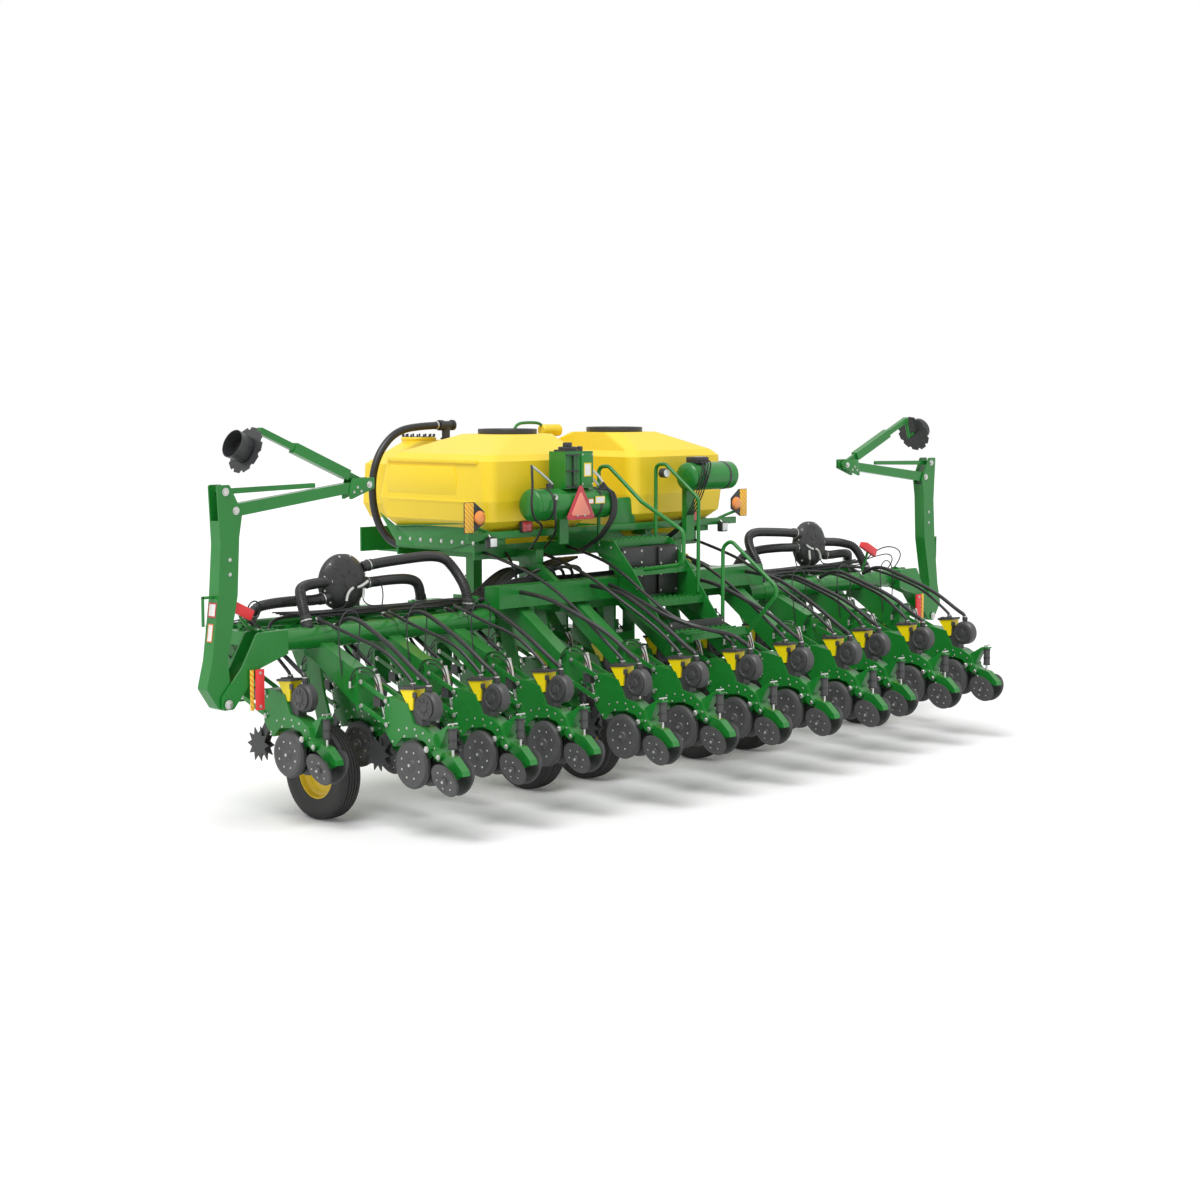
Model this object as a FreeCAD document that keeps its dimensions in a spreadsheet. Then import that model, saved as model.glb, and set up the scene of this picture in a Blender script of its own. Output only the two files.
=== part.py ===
import FreeCAD, Part

import math
import os
import re

from FreeCAD import Vector

# A pull-type row crop planter with two ranks of row units, a centre frame on four
# wheels, two wings that swing forward, and a row marker on the end of each wing.
# X points to the machine's right, Y forward along the tongue, Z up from the ground.
# Lengths are in millimetres. Outlines are drawn with Y = 0 at the gauge wheels of the
# wings' rear rank, and every finished piece is then moved back by gauge_line.

document = FreeCAD.newDocument("RowCropPlanter")
sheet = document.addObject("Spreadsheet::Sheet", "Sizes")

sizes = {
    "gauge_line": -2497,
    # Rows and ranks
    "rank_pitch": 762,
    "front_rank": 1138,
    "centre_setback": 220,
    # Row unit
    "casting_width": 140,
    "shank_thickness": 24,
    "link_thickness": 12,
    "link_height": 38,
    "hopper_width": 120,
    "lid_thickness": 20,
    "meter_radius": 123,
    "opener_radius": 190,
    "opener_thickness": 5,
    "gauge_axle_height": 639,
    "gauge_radius": 200,
    "gauge_inner_face": 58,
    "gauge_outer_face": 130,
    "spindle_radius": 12,
    "running_gap": 0.05,
    "closing_radius": 150,
    "closing_thickness": 24,
    "closing_lean": 22,
    "closing_offset": 92,
    "cleaner_radius": 150,
    "cleaner_teeth": 10,
    "damper_radius": 34,
    "strut_radius": 24,
    # Frames
    "beam_width": 140,
    "wing_tube_radius": 95,
    "wing_tube_y": 1300,
    "wing_tube_z": 1592,
    "wing_outer_end": 4465,
    "wing_inner_end": 1835,
    "front_bar_y": 2050,
    "front_bar_z": 1590,
    "front_bar_depth": 180,
    "front_bar_height": 180,
    "centre_bar_end": 1880,
    "front_bar_end": 1790,
    "rear_bar_y": 1200,
    "rear_bar_z": 1800,
    "rear_bar_size": 200,
    "fold_axis_x": 1930,
    "fold_axis_y": 2225,
    "fold_pin_radius": 30,
    "fold_barrel_radius": 56,
    "fold_gap": 6,
    "lug_thickness": 30,
    # Wheels
    "tyre_radius": 417,
    "tyre_width": 200,
    "rim_radius": 255,
    "hub_radius": 60,
    "axle_radius": 35,
    "wing_wheel_x": 3810,
    "wing_wheel_y": 1303,
    "centre_wheel_y": 1064,
    "inner_wheel_x": 786,
    "outer_wheel_x": 1556,
    "arm_thickness": 26,
    # Tongue and jack
    "tongue_height": 300,
    "tongue_width": 240,
    "tongue_wall": 12,
    "tongue_gap": 5,
    "pad_gap": 0.3,
    "tongue_z": 1180,
    "tongue_rear": 1300,
    "tongue_mouth": 4250,
    "hitch_y": 5700,
    "hitch_z": 560,
    "hitch_bore": 26,
    "hitch_thickness": 40,
    "jack_y": 5150,
    "jack_x": -230,
    "jack_tube": 45,
    "jack_leg": 36,
    "jack_foot": 110,
    # Tanks
    "tank_inner": 283,
    "tank_outer": 1683,
    "tank_rear": 1450,
    "tank_front": 3080,
    "tank_floor": 2215,
    "tank_shoulder": 2660,
    "tank_edge": 3095,
    "tank_crown": 3275,
    "tank_lid_x": 759,
    "tank_lid_y": 2164,
    "tank_lid_radius": 290,
    "tank_lid_height": 50,
    "front_tank_half": 1300,
    "front_tank_rear": 3160,
    "front_tank_front": 3800,
    # Stairs
    "stair_left": -290,
    "stair_right": 530,
    "tread_thickness": 55,
    "stringer_thickness": 12,
    "rail_radius": 19,
    # Markers
    "marker_y": 1210,
    "marker_post_width": 130,
    "marker_arm_width": 90,
    "marker_pin_radius": 22,
    "marker_blade_radius": 205,
    "marker_drum_radius": 122,
}

for line, (alias, value) in enumerate(sizes.items(), 1):
    sheet.set(f"A{line}", alias)
    sheet.set(f"B{line}", str(value))
    sheet.setAlias(f"B{line}", alias)
document.recompute()

nodes = []


def size(alias):
    return float(getattr(sheet, alias))


def bind(item, place, text):
    """Ties one property to a formula of the sheet's names."""
    item.setExpression(place, re.sub(r"\b([a-z]\w*)", r"Sizes.\1", str(text)))


def put(item, x=0, y=0, z=0):
    for axis, text in zip("xyz", (x, y, z)):
        bind(item, f"Placement.Base.{axis}", text)
    return item


def block(name, corner, lengths):
    item = document.addObject("Part::Box", name)
    for side, text in zip(("Length", "Width", "Height"), lengths):
        bind(item, side, text)
    return put(item, *corner)


def round_bar(name, radius, start, end):
    """A cylinder from one point to another."""
    item = document.addObject("Part::Cylinder", name)
    run = Vector(*end) - Vector(*start)
    bind(item, "Radius", radius)
    item.Height = run.Length
    turn = FreeCAD.Rotation(Vector(0, 0, 1), run)
    item.Placement = FreeCAD.Placement(Vector(*start), turn)
    return item


def rounded(corners):
    """Edges through (u, v) corners, or (u, v, radius) where a corner is rounded."""
    points = [Vector(corner[0], corner[1], 0) for corner in corners]
    ends = []
    for index, corner in enumerate(corners):
        here = points[index]
        back = (points[index - 1] - here).normalize()
        ahead = (points[(index + 1) % len(points)] - here).normalize()
        radius = corner[2] if len(corner) > 2 else 0
        if not radius:
            ends.append((here, None, here))
            continue
        half = back.getAngle(ahead) / 2
        reach = radius / math.tan(half)
        middle = here + (back + ahead).normalize() * (radius / math.sin(half) - radius)
        ends.append((here + back * reach, middle, here + ahead * reach))
    edges = []
    for index, (_, _, leave) in enumerate(ends):
        enter, middle, after = ends[(index + 1) % len(ends)]
        if leave.distanceToPoint(enter) > 1e-6:
            edges.append(Part.LineSegment(leave, enter))
        if middle is not None:
            edges.append(Part.Arc(enter, middle, after))
    return edges


def plane_of(body, role):
    return next(item for item in body.Origin.OriginFeatures if item.Role == role)


def sketch_on(body, role, edges, lift=0):
    sketch = body.newObject("Sketcher::SketchObject", body.Name + "Sketch")
    sketch.AttachmentSupport = [(plane_of(body, role), "")]
    sketch.MapMode = "FlatFace"
    sketch.AttachmentOffset = FreeCAD.Placement(Vector(0, 0, lift), FreeCAD.Rotation())
    sketch.addGeometry(edges, False)
    return sketch


def prism(name, corners, width, middle=0, role="YZ_Plane"):
    """An outline padded to both sides of a plane, which stands at middle."""
    body = document.addObject("PartDesign::Body", name)
    pad = body.newObject("PartDesign::Pad", name + "Pad")
    pad.Profile = sketch_on(body, role, rounded(corners))
    pad.Midplane = True
    bind(pad, "Length", width)
    axis = {"YZ_Plane": "x", "XZ_Plane": "y", "XY_Plane": "z"}[role]
    bind(body, f"Placement.Base.{axis}", middle)
    return body


def turned(name, corners, x=0, y=0, z=0):
    """An outline of (along X, radius) corners turned about X."""
    body = document.addObject("PartDesign::Body", name)
    sketch = sketch_on(body, "XY_Plane", rounded(corners))
    turn = body.newObject("PartDesign::Revolution", name + "Turn")
    turn.Profile = sketch
    turn.ReferenceAxis = (sketch, ["H_Axis"])
    turn.Angle = 360
    return put(body, x, y, z)


def lofted(name, sections):
    """A ruled loft through level rounded rectangles: (z, left, right, rear, front, radius)."""
    body = document.addObject("PartDesign::Body", name)
    sketches = []
    for level, left, right, rear, front, radius in sections:
        corners = [(left, rear, radius), (right, rear, radius),
                   (right, front, radius), (left, front, radius)]
        sketches.append(sketch_on(body, "XY_Plane", rounded(corners), level))
    loft = body.newObject("PartDesign::AdditiveLoft", name + "Loft")
    loft.Profile = sketches[0]
    loft.Sections = sketches[1:]
    loft.Ruled = True
    return body


def fuse(name, parts):
    item = document.addObject("Part::MultiFuse", name)
    item.Shapes = parts
    item.Refine = True
    return item


def cut(name, base, tool):
    item = document.addObject("Part::Cut", name)
    item.Base = base
    item.Tool = tool
    return item


def mirrored(name, source):
    item = document.addObject("Part::Mirroring", name)
    item.Source = source
    item.Normal = Vector(1, 0, 0)
    return item


def shaped(name, shape):
    item = document.addObject("Part::Feature", name)
    item.Shape = shape
    return item


def copies(name, source, places):
    """Separate copies of one piece, moved to each (x, y) place."""
    document.recompute()
    moved = [source.Shape.translated(Vector(x, y, 0)) for x, y in places]
    return shaped(name, Part.makeCompound(moved))


def tube(name, points, radius, bend=None):
    """A round bar or hose along straight runs joined by tangent arcs."""
    stops = [Vector(*point) for point in points]
    edges = []
    start = stops[0]
    for before, here, after in zip(stops, stops[1:], stops[2:]):
        back = (before - here).normalize()
        ahead = (after - here).normalize()
        half = back.getAngle(ahead) / 2
        shorter = min(before.distanceToPoint(here), here.distanceToPoint(after))
        reach = 0.45 * shorter
        if bend:
            reach = min(reach, bend / math.tan(half))
        arc_radius = reach * math.tan(half)
        middle = here + (back + ahead).normalize() * (arc_radius / math.sin(half) - arc_radius)
        enter = here + back * reach
        leave = here + ahead * reach
        edges.append(Part.LineSegment(start, enter).toShape())
        edges.append(Part.Arc(enter, middle, leave).toShape())
        start = leave
    edges.append(Part.LineSegment(start, stops[-1]).toShape())
    path = Part.Wire(edges)
    ring = Part.Wire(Part.Circle(stops[0], stops[1] - stops[0], radius).toShape())
    return path.makePipeShell([ring], True, False)


def node(label, *pieces):
    """Names a finished sub-part and sets it back from the gauge line."""
    item = document.addObject("Part::Compound", label.title().replace("_", "") + "Node")
    item.Links = list(pieces)
    item.Label = label
    bind(item, "Placement.Base.y", "gauge_line")
    nodes.append(item)
    return item


def mirror_node(label, source):
    """Names the right-hand twin of a finished left-hand piece."""
    item = mirrored(label.title().replace("_", "") + "Node", source)
    item.Label = label
    nodes.append(item)


# Row positions: (x, y) of each unit, relative to the wings' rear gauge line

pitch = size("rank_pitch")
front = size("front_rank")
setback = -size("centre_setback")

rows = {
    "left": {"rear": [(-pitch * step, 0) for step in (3, 4, 5)],
             "front": [(-pitch * (step - 0.5), front) for step in (3, 4, 5, 6)]},
    "centre": {"rear": [(pitch * step, setback) for step in (-2, -1, 0, 1, 2)],
               "front": [(pitch * (step - 0.5), front) for step in (-1, 0, 1, 2)]},
    "right": {"rear": [(pitch * step, 0) for step in (3, 4, 5)],
              "front": [(pitch * (step - 0.5), front) for step in (3, 4, 5, 6)]},
}


# One row unit, drawn on the machine's centreline

LINK_PINS = {"upper": ((670, 1264), (351, 1134)), "lower": ((667, 1064), (348, 934))}
MOUNT_FACE = 690


def link(name, pins):
    """A flat bar between two pins, its front end against the mounting plate."""
    (y0, z0), (y1, z1) = pins
    half = size("link_height") / 2
    lean = math.atan2(z0 - z1, y0 - y1)
    rise = half / math.cos(lean)
    tip = z0 + (MOUNT_FACE - y0) * math.tan(lean)
    corners = [(MOUNT_FACE, tip + rise), (y1 - half, z1 + rise, half * 0.6),
               (y1 - half, z1 - rise, half * 0.6), (MOUNT_FACE, tip - rise)]
    offset = "(casting_width + link_thickness) / 2"
    return [prism(name + "Left", corners, "link_thickness", "-" + offset),
            prism(name + "Right", corners, "link_thickness", offset)]


def make_unit():
    axle = size("gauge_axle_height")
    casting = [(378, 1165, 12), (262, 1165, 20), (94, 1136, 10), (18, 975, 10), (-110, 950, 60),
               (-215, 895, 40), (-262, 800, 20), (-322, 738, 24), (-285, 688, 24),
               (-215, 740, 20), (-120, 842, 40), (0, 864, 60), (170, 842, 30),
               (262, 752, 20), (378, 880, 10)]
    shank = [(210, 850), (-110, 850), (-100, 690), (-40, 560), (-20, 470), (60, 445),
             (110, 475), (135, 640), (210, 790)]
    bracket = [(-196, 905), (-345, 992, 16), (-420, 992), (-420, 978), (-352, 972, 16),
               (-262, 800)]
    closing_arm = [(-262, 762), (-300, 768, 20), (-430, 735, 20), (-536, 640, 20), (-548, 598),
                   (-505, 594), (-425, 640), (-405, 545, 18), (-366, 545, 18), (-352, 660),
                   (-270, 700)]
    gauge_arm = [(-232, 822, 20), (-180, 826, 24), (26, 660, 22), (14, 612, 22), (-30, 618, 20),
                 (-228, 764, 24)]
    pieces = [prism("Casting", casting, "casting_width"),
              prism("Shank", shank, "shank_thickness"),
              prism("DamperBracket", bracket, "casting_width / 2"),
              prism("ClosingArm", closing_arm, "casting_width * 0.6")]
    for name, pins in LINK_PINS.items():
        pieces += link(name.title() + "Link", pins)
    arm_middle = size("casting_width") / 2 - 27
    for side, word in ((-1, "Left"), (1, "Right")):
        pieces.append(prism("GaugeArm" + word, gauge_arm, 18, side * (arm_middle - 2)))
        pieces.append(round_bar("GaugeBoss" + word, 22, (side * 20, -205, 795),
                                (side * 126, -205, 795)))
        pieces.append(round_bar("Spindle" + word, "spindle_radius",
                                (side * arm_middle, 0, axle), (side * 108, 0, axle)))
        pieces.append(round_bar("ClosingStub" + word, 14, (side * 30, -386, 580),
                                (side * (size("closing_offset") - 14), -386, 562)))
    pieces.append(round_bar("OpenerHub", 42, (-15, 60, 630), (15, 60, 630)))
    return fuse("Unit", pieces)


def make_hopper(unit):
    wedge = prism("HopperWedge", [(196, 1240), (20, 1256), (42, 1083, 6), (75, 1083, 6)],
                  "hopper_width")
    return cut("Hopper", wedge, unit)


def make_meter(unit, hopper, strut):
    reach = size("meter_radius")
    drum = turned("MeterDrum", [(-64, 0), (-60, 58, 20), (-46, reach - 18, 12), (-30, reach),
                                (34, reach), (48, reach - 16), (48, 0)],
                  0, -107, 1122)
    neck = prism("MeterNeck", [(60, 1190), (-60, 1190), (-60, 935), (60, 935)], 90)
    elbow = round_bar("MeterElbow", 24, (0, -100, 1200), (0, -100, 1285))
    body = fuse("MeterBody", [drum, neck, elbow])
    housing = cut("MeterHousing", body, fuse("MeterSeat", [unit, hopper]))
    lid = prism("HopperLid", [(206, 1240), (10, 1257), (10, 1279), (206, 1262)],
                "hopper_width + 16")
    damper = round_bar("Damper", "damper_radius", (0, -385, 800), (0, -385, 978))
    valve = block("ValveRaw", (-68, 440, 1070), (58, 90, 80))
    valve_block = cut("ValveBlock", valve, strut)
    return [housing, cut("Lid", lid, hopper), cut("DamperBag", damper, unit), valve_block]


def make_strut(unit):
    barrel = round_bar("StrutBarrel", "strut_radius", (0, 560, 1330), (0, 500, 1120))
    rod = round_bar("StrutRod", 11, (0, 560, 1330), (0, 455, 962))
    foot = round_bar("StrutFoot", 16, (-70, 455, 962), (70, 455, 962))
    damper_rod = round_bar("DamperRod", 12, (0, -385, 800), (0, -385, 715))
    whole = fuse("StrutWhole", [barrel, rod, foot])
    return [cut("Strut", whole, unit), cut("DamperPushRod", damper_rod, unit)]


def make_opener():
    """Two opener discs beside the shank, and the cleaner ahead of it."""
    middle = 15 + size("opener_thickness") / 2
    discs = [prism("OpenerDisc" + word, disc_outline(60, 630, size("opener_radius")),
                   "opener_thickness", side * middle)
             for side, word in ((-1, "Left"), (1, "Right"))]
    arm = prism("CleanerArm", [(378, 1000), (410, 1000), (430, 880, 40), (560, 690, 20),
                               (535, 640, 20), (490, 660), (378, 800)], 36)
    wheels = [prism("CleanerWheel" + word, spiked_outline(520, 662), 8, side * 30)
              for side, word in ((-1, "Left"), (1, "Right"))]
    hub = round_bar("CleanerHub", 30, (-30, 520, 662), (30, 520, 662))
    cleaner = fuse("Cleaner", [arm, hub] + wheels)
    return discs + [cleaner]


def disc_outline(y, z, radius, count=20):
    steps = [2 * math.pi * index / count for index in range(count)]
    return [(y + radius * math.cos(step), z + radius * math.sin(step)) for step in steps]


def spiked_outline(y, z):
    tip = size("cleaner_radius")
    count = int(size("cleaner_teeth"))
    corners = []
    for tooth in range(count):
        for part, radius in ((0, tip), (0.5, tip * 0.62)):
            step = 2 * math.pi * (tooth + part) / count
            corners.append((y + radius * math.cos(step), z + radius * math.sin(step)))
    return corners


def make_closing_wheels():
    rim = size("closing_radius")
    half = size("closing_thickness") / 2
    pair = []
    for side, word in ((-1, "Left"), (1, "Right")):
        wheel = turned("ClosingWheel" + word,
                       [(-half, 0), (-half, rim - 22), (-half * 0.6, rim - 4), (half * 0.2, rim),
                        (half * 0.8, rim - 12), (half, rim - 34), (half * 0.6, 40), (half * 0.6, 0)],
                       f"{side} * closing_offset", -386, 556)
        flip = FreeCAD.Rotation(Vector(0, 0, 1), 180 if side < 0 else 0)
        lean = FreeCAD.Rotation(Vector(0, 1, 0), side * size("closing_lean"))
        wheel.Placement = FreeCAD.Placement(Vector(), lean.multiply(flip))
        pair.append(wheel)
    return pair


def make_gauge_wheels():
    inner = size("gauge_inner_face")
    outer = size("gauge_outer_face")
    rim = size("gauge_radius")
    bore = size("spindle_radius") + size("running_gap")
    profile = [(inner, bore), (inner, rim - 50), (inner + 8, rim - 14), (inner + 18, rim - 2),
               (outer - 28, rim), (outer - 8, rim - 16), (outer, rim - 46),
               (outer - 14, 90), (outer - 14, 0), (109, 0), (109, bore)]
    right = turned("GaugeWheelRight", profile, 0, 0, "gauge_axle_height")
    left = mirrored("GaugeWheelLeft", right)
    return [left, right]


def make_masters():
    unit = make_unit()
    hopper = make_hopper(unit)
    strut = make_strut(unit)
    meter = make_meter(unit, hopper, strut[0])
    pieces = {"row_units": [unit], "hoppers": [hopper], "meters": meter, "struts": strut,
              "openers": make_opener(), "closing_wheels": make_closing_wheels(),
              "gauge_wheels": make_gauge_wheels()}
    document.recompute()
    return {name: shaped(name.title().replace("_", ""),
                         Part.makeCompound([item.Shape for item in group]))
            for name, group in pieces.items()}


# Frames of the wings and the centre

REAR_BEAM = [(1440, 1640, 20), (1440, 1425, 20), (1330, 1400), (745, 1045), (715, 1030),
             (715, 1370), (790, 1370)]
CENTRE_BEAM = [(1500, 1870, 20), (1500, 1690, 20), (1330, 1600), (560, 1045), (495, 1030),
               (495, 1360), (600, 1310), (1420, 1870)]
HANGER = [(1853, 1030), (1890, 1030), (2120, 1400, 40), (2120, 1520), (1980, 1520),
          (1853, 1370)]
WHEEL_ARM = [(1580, 1600), (1720, 1600), (1640, 1060, 60), (1400, 350, 50), (1280, 330, 50),
             (1225, 440, 50), (1470, 1080, 60)]
CENTRE_WHEEL_ARM = [(1480, 1700), (1640, 1700), (1500, 1060, 60), (1160, 350, 50),
                    (1040, 330, 50), (985, 440, 50), (1320, 1080, 60)]


def plate_for(name, x, face):
    """The plate that a unit's links are pinned against, its rear face at y = face."""
    return block(name, (x - 95, face, 1020), (190, 27, 360))


def beams(name, places, outline, shift):
    """A sloping beam and a plate for each unit of a rank."""
    parts = []
    for index, (x, y) in enumerate(places):
        beam = prism(f"{name}Beam{index}", outline, "beam_width", x)
        parts += [beam, plate_for(f"{name}Plate{index}", x, MOUNT_FACE + y + shift)]
    return parts


def wheel_arm(name, outline, x, y, reach):
    """A flat arm at x with a spindle that reaches towards its wheel."""
    arm = prism(name, outline, "arm_thickness", x)
    axle = size("tyre_radius")
    spindle = round_bar(name + "Spindle", "axle_radius", (x, y, axle), (x + reach, y, axle))
    return [arm, spindle]


def left_wing():
    outer = -size("wing_outer_end")
    inner = -size("wing_inner_end")
    y, z = size("wing_tube_y"), size("wing_tube_z")
    tube_bar = round_bar("WingTube", "wing_tube_radius", (outer, y, z), (inner, y, z))
    bar = block("WingFrontBar", (outer + 60, "front_bar_y - front_bar_depth / 2",
                                 "front_bar_z - front_bar_height / 2 + fold_gap"),
                (inner - outer - 60, "front_bar_depth", "front_bar_height - 2 * fold_gap"))
    knuckle = block("FoldKnuckle", ("-fold_axis_x - 45", "front_bar_y + front_bar_depth / 2",
                                    "front_bar_z - 60"),
                    (90, "fold_axis_y - front_bar_y - front_bar_depth / 2", 120))
    drum = document.addObject("Part::Cylinder", "FoldBarrel")
    bind(drum, "Radius", "fold_barrel_radius")
    bind(drum, "Height", "front_bar_height - 2 * fold_gap")
    put(drum, "-fold_axis_x", "fold_axis_y", "front_bar_z - front_bar_height / 2 + fold_gap")
    parts = [tube_bar, bar, knuckle, drum]
    for index, x in enumerate((-2110, -2960, -3640, -4330)):
        parts.append(block(f"WingCross{index}", (x - 55, 1300, 1530), (110, 700, 120)))
    parts += beams("WingRear", rows["left"]["rear"], REAR_BEAM, 0)
    parts += beams("WingFront", rows["left"]["front"], HANGER, 0)
    wheel = -size("wing_wheel_x")
    parts += wheel_arm("WingWheelArm", WHEEL_ARM, wheel + 170, size("wing_wheel_y"), -170)
    parts += marker_base()
    solid = fuse("WingSolid", parts)
    bore = document.addObject("Part::Cylinder", "FoldBore")
    bind(bore, "Radius", "fold_pin_radius + running_gap")
    bore.Height = 400
    put(bore, "-fold_axis_x", "fold_axis_y", "front_bar_z - 200")
    return cut("WingFrame", solid, bore)


BASE_PIN = (-4929, 1133)


def marker_base():
    """Two cheeks at the wing's end with the pin that the marker's post turns on."""
    half = size("marker_post_width") / 2 + 6
    y = size("marker_y")
    cheek = [(-4300, 1500), (-4300, 1700, 20), (-4620, 1700, 40), (-4780, 1420, 60),
             (-4985, 1190, 40), (-4985, 1085, 40), (-4870, 1085, 40), (-4600, 1400, 60)]
    parts = [prism("BaseCheek" + word, cheek, 20, y + side * (half + 10), "XZ_Plane")
             for side, word in ((-1, "Rear"), (1, "Front"))]
    parts.append(block("BaseBox", (-4480, y - half - 20, 1490), (160, 2 * half + 40, 200)))
    parts.append(round_bar("BasePin", "marker_pin_radius", (BASE_PIN[0], y - half - 30, BASE_PIN[1]),
                           (BASE_PIN[0], y + half + 30, BASE_PIN[1])))
    return parts


def lug_outline(side):
    """A fold lug in plan: from the end of the centre's front bar to the fold pin."""
    axis_x, axis_y = size("fold_axis_x"), size("fold_axis_y")
    bar_front = size("front_bar_y") + size("front_bar_depth") / 2
    bar_end = size("front_bar_end")
    corners = [(bar_end - 190, bar_front - 120), (bar_end - 20, bar_front - 120),
               (bar_end - 20, bar_front + 8), (axis_x + 60, bar_front + 25, 50),
               (axis_x + 60, axis_y + 60, 50), (bar_end - 190, axis_y + 60, 30)]
    return [(side * corner[0], *corner[1:]) for corner in corners]


def centre_frame():
    end = size("centre_bar_end")
    short = size("front_bar_end")
    rear_bar = block("RearBar", (-end, "rear_bar_y - rear_bar_size / 2",
                                 "rear_bar_z - rear_bar_size / 2"),
                     (2 * end, "rear_bar_size", "rear_bar_size"))
    front_bar = block("FrontBar", (-short, "front_bar_y - front_bar_depth / 2",
                                   "front_bar_z - front_bar_height / 2"),
                      (2 * short, "front_bar_depth", "front_bar_height"))
    parts = [rear_bar, front_bar]
    for index, x in enumerate((-1400, -930, 930, 1400)):
        parts.append(block(f"SideMember{index}", (x - 60, 1200, 1610), (120, 800, 120)))
    for word, side in (("Left", -1), ("Right", 1)):
        for level, height in (("Low", "front_bar_z - (front_bar_height + lug_thickness) / 2"),
                              ("High", "front_bar_z + (front_bar_height + lug_thickness) / 2")):
            parts.append(prism(f"Lug{word}{level}", lug_outline(side), "lug_thickness", height,
                               "XY_Plane"))
        pin = document.addObject("Part::Cylinder", "FoldPin" + word)
        bind(pin, "Radius", "fold_pin_radius")
        bind(pin, "Height", "front_bar_height + 2 * lug_thickness + 20")
        put(pin, f"{side} * fold_axis_x", "fold_axis_y",
            "front_bar_z - front_bar_height / 2 - lug_thickness - 10")
        parts.append(pin)
        inner, outer = side * size("inner_wheel_x"), side * size("outer_wheel_x")
        y = size("centre_wheel_y")
        parts += wheel_arm(f"InnerArm{word}", CENTRE_WHEEL_ARM, inner + side * 145, y, -side * 145)
        parts += wheel_arm(f"OuterArm{word}", CENTRE_WHEEL_ARM, outer - side * 145, y, side * 145)
    parts += beams("CentreRear", rows["centre"]["rear"], CENTRE_BEAM, 0)
    parts += beams("CentreFront", rows["centre"]["front"], HANGER, 0)
    height = size("tongue_height")
    width = size("tongue_width")
    outer = block("TongueSleeve", (-width / 2, "tongue_rear", size("tongue_z") - height / 2),
                  (width, "tongue_mouth - tongue_rear", height))
    hollow = block("TongueHollow", (-width / 2 + 12, 1400, size("tongue_z") - height / 2 + 12),
                   (width - 24, 3000, height - 24))
    parts.append(cut("TongueTube", outer, hollow))
    pad = size("tongue_gap") - size("pad_gap")
    for word, start in (("Mouth", 4170), ("Back", 2470)):
        for end, low in (("Low", size("tongue_z") - height / 2 + 12),
                         ("High", size("tongue_z") + height / 2 - 12 - pad)):
            parts.append(block(f"Pad{word}{end}", (-60, start, low), (120, 60, pad)))
        for end, low in (("Left", -width / 2 + 12), ("Right", width / 2 - 12 - pad)):
            parts.append(block(f"Pad{word}{end}", (low, start, size("tongue_z") - 60),
                               (pad, 60, 120)))
    for index, x in enumerate((-150, 120)):
        parts.append(block(f"TongueHanger{index}", (x, 1960, size("tongue_z") - height / 2),
                           (30, 180, size("front_bar_z") - size("tongue_z") + height / 2)))
        parts.append(block(f"TongueHangerRear{index}", (x, 1300, size("tongue_z") - height / 2),
                           (30, 140, 1600 - size("tongue_z") + height / 2)))
    parts.append(block("RearCross", (-700, 1300, 1600), (1400, 140, 110)))
    return fuse("CentreFrame", parts)


# Road wheels: tyre and rim, turned about X

def make_tyre():
    radius = size("tyre_radius")
    half = size("tyre_width") / 2
    bead = size("rim_radius") - 20
    profile = [(-half * 0.72, bead), (-half, radius - 90), (-half * 0.9, radius - 22),
               (-half * 0.6, radius), (half * 0.6, radius), (half * 0.9, radius - 22),
               (half, radius - 90), (half * 0.72, bead)]
    return turned("TyreMaster", profile)


def make_rim():
    half = size("tyre_width") / 2
    bead = size("rim_radius") - 20
    bore = size("axle_radius") + size("running_gap")
    profile = [(-half * 0.72, bead), (half * 0.72, bead), (half * 0.72, bead - 14),
               (30, bead - 26), (12, bead - 60), (24, 100), (30, size("hub_radius")),
               (40, size("hub_radius")), (40, 0), (26, 0), (26, bore), (-60, bore),
               (-60, size("hub_radius")), (8, size("hub_radius")), (0, 100), (-8, bead - 50),
               (10, bead - 18), (-half * 0.72, bead - 14)]
    return turned("RimMaster", profile)


# Markers: post, arm, tip, upper link and disc of the left side

TOP_PIN = (-4800, 2720)
LINK_PIN = (-4902, 2878)
TIP_PIN = (-3370, 2891)
LINK_END = (-3952, 2899)
TIP_END = (-4495, 3368)
DISC_CENTRE = (-4645, 3212)


def marker_post():
    corners = [(-4985, 2935, 20), (-4860, 2935, 20), (-4735, 2700, 20), (-4770, 2500, 60),
               (-4795, 2020, 200), (-4905, 1500, 200), (-4868, 1120, 40), (-4930, 1075, 40),
               (-5005, 1100, 40), (-5120, 1270, 40), (-5060, 1500, 100), (-4990, 2020, 200),
               (-4960, 2450, 100)]
    post = prism("PostPlate", corners, "marker_post_width", "marker_y", "XZ_Plane")
    half = size("marker_post_width") / 2
    y = size("marker_y")
    gap = size("marker_arm_width") + 12
    slot = block("PostSlot", (-5100, y - gap / 2, 2640), (500, gap, 400))
    bore = round_bar("PostBore", "marker_pin_radius + running_gap",
                     (BASE_PIN[0], y - half - 5, BASE_PIN[1]),
                     (BASE_PIN[0], y + half + 5, BASE_PIN[1]))
    bored = cut("PostBored", post, fuse("PostHoles", [slot, bore]))
    pins = [round_bar(name, "marker_pin_radius", (x, y - half + 2, z), (x, y + half - 2, z))
            for name, (x, z) in (("TopPin", TOP_PIN), ("LinkPin", LINK_PIN))]
    return fuse("Post", [bored] + pins)


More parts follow.
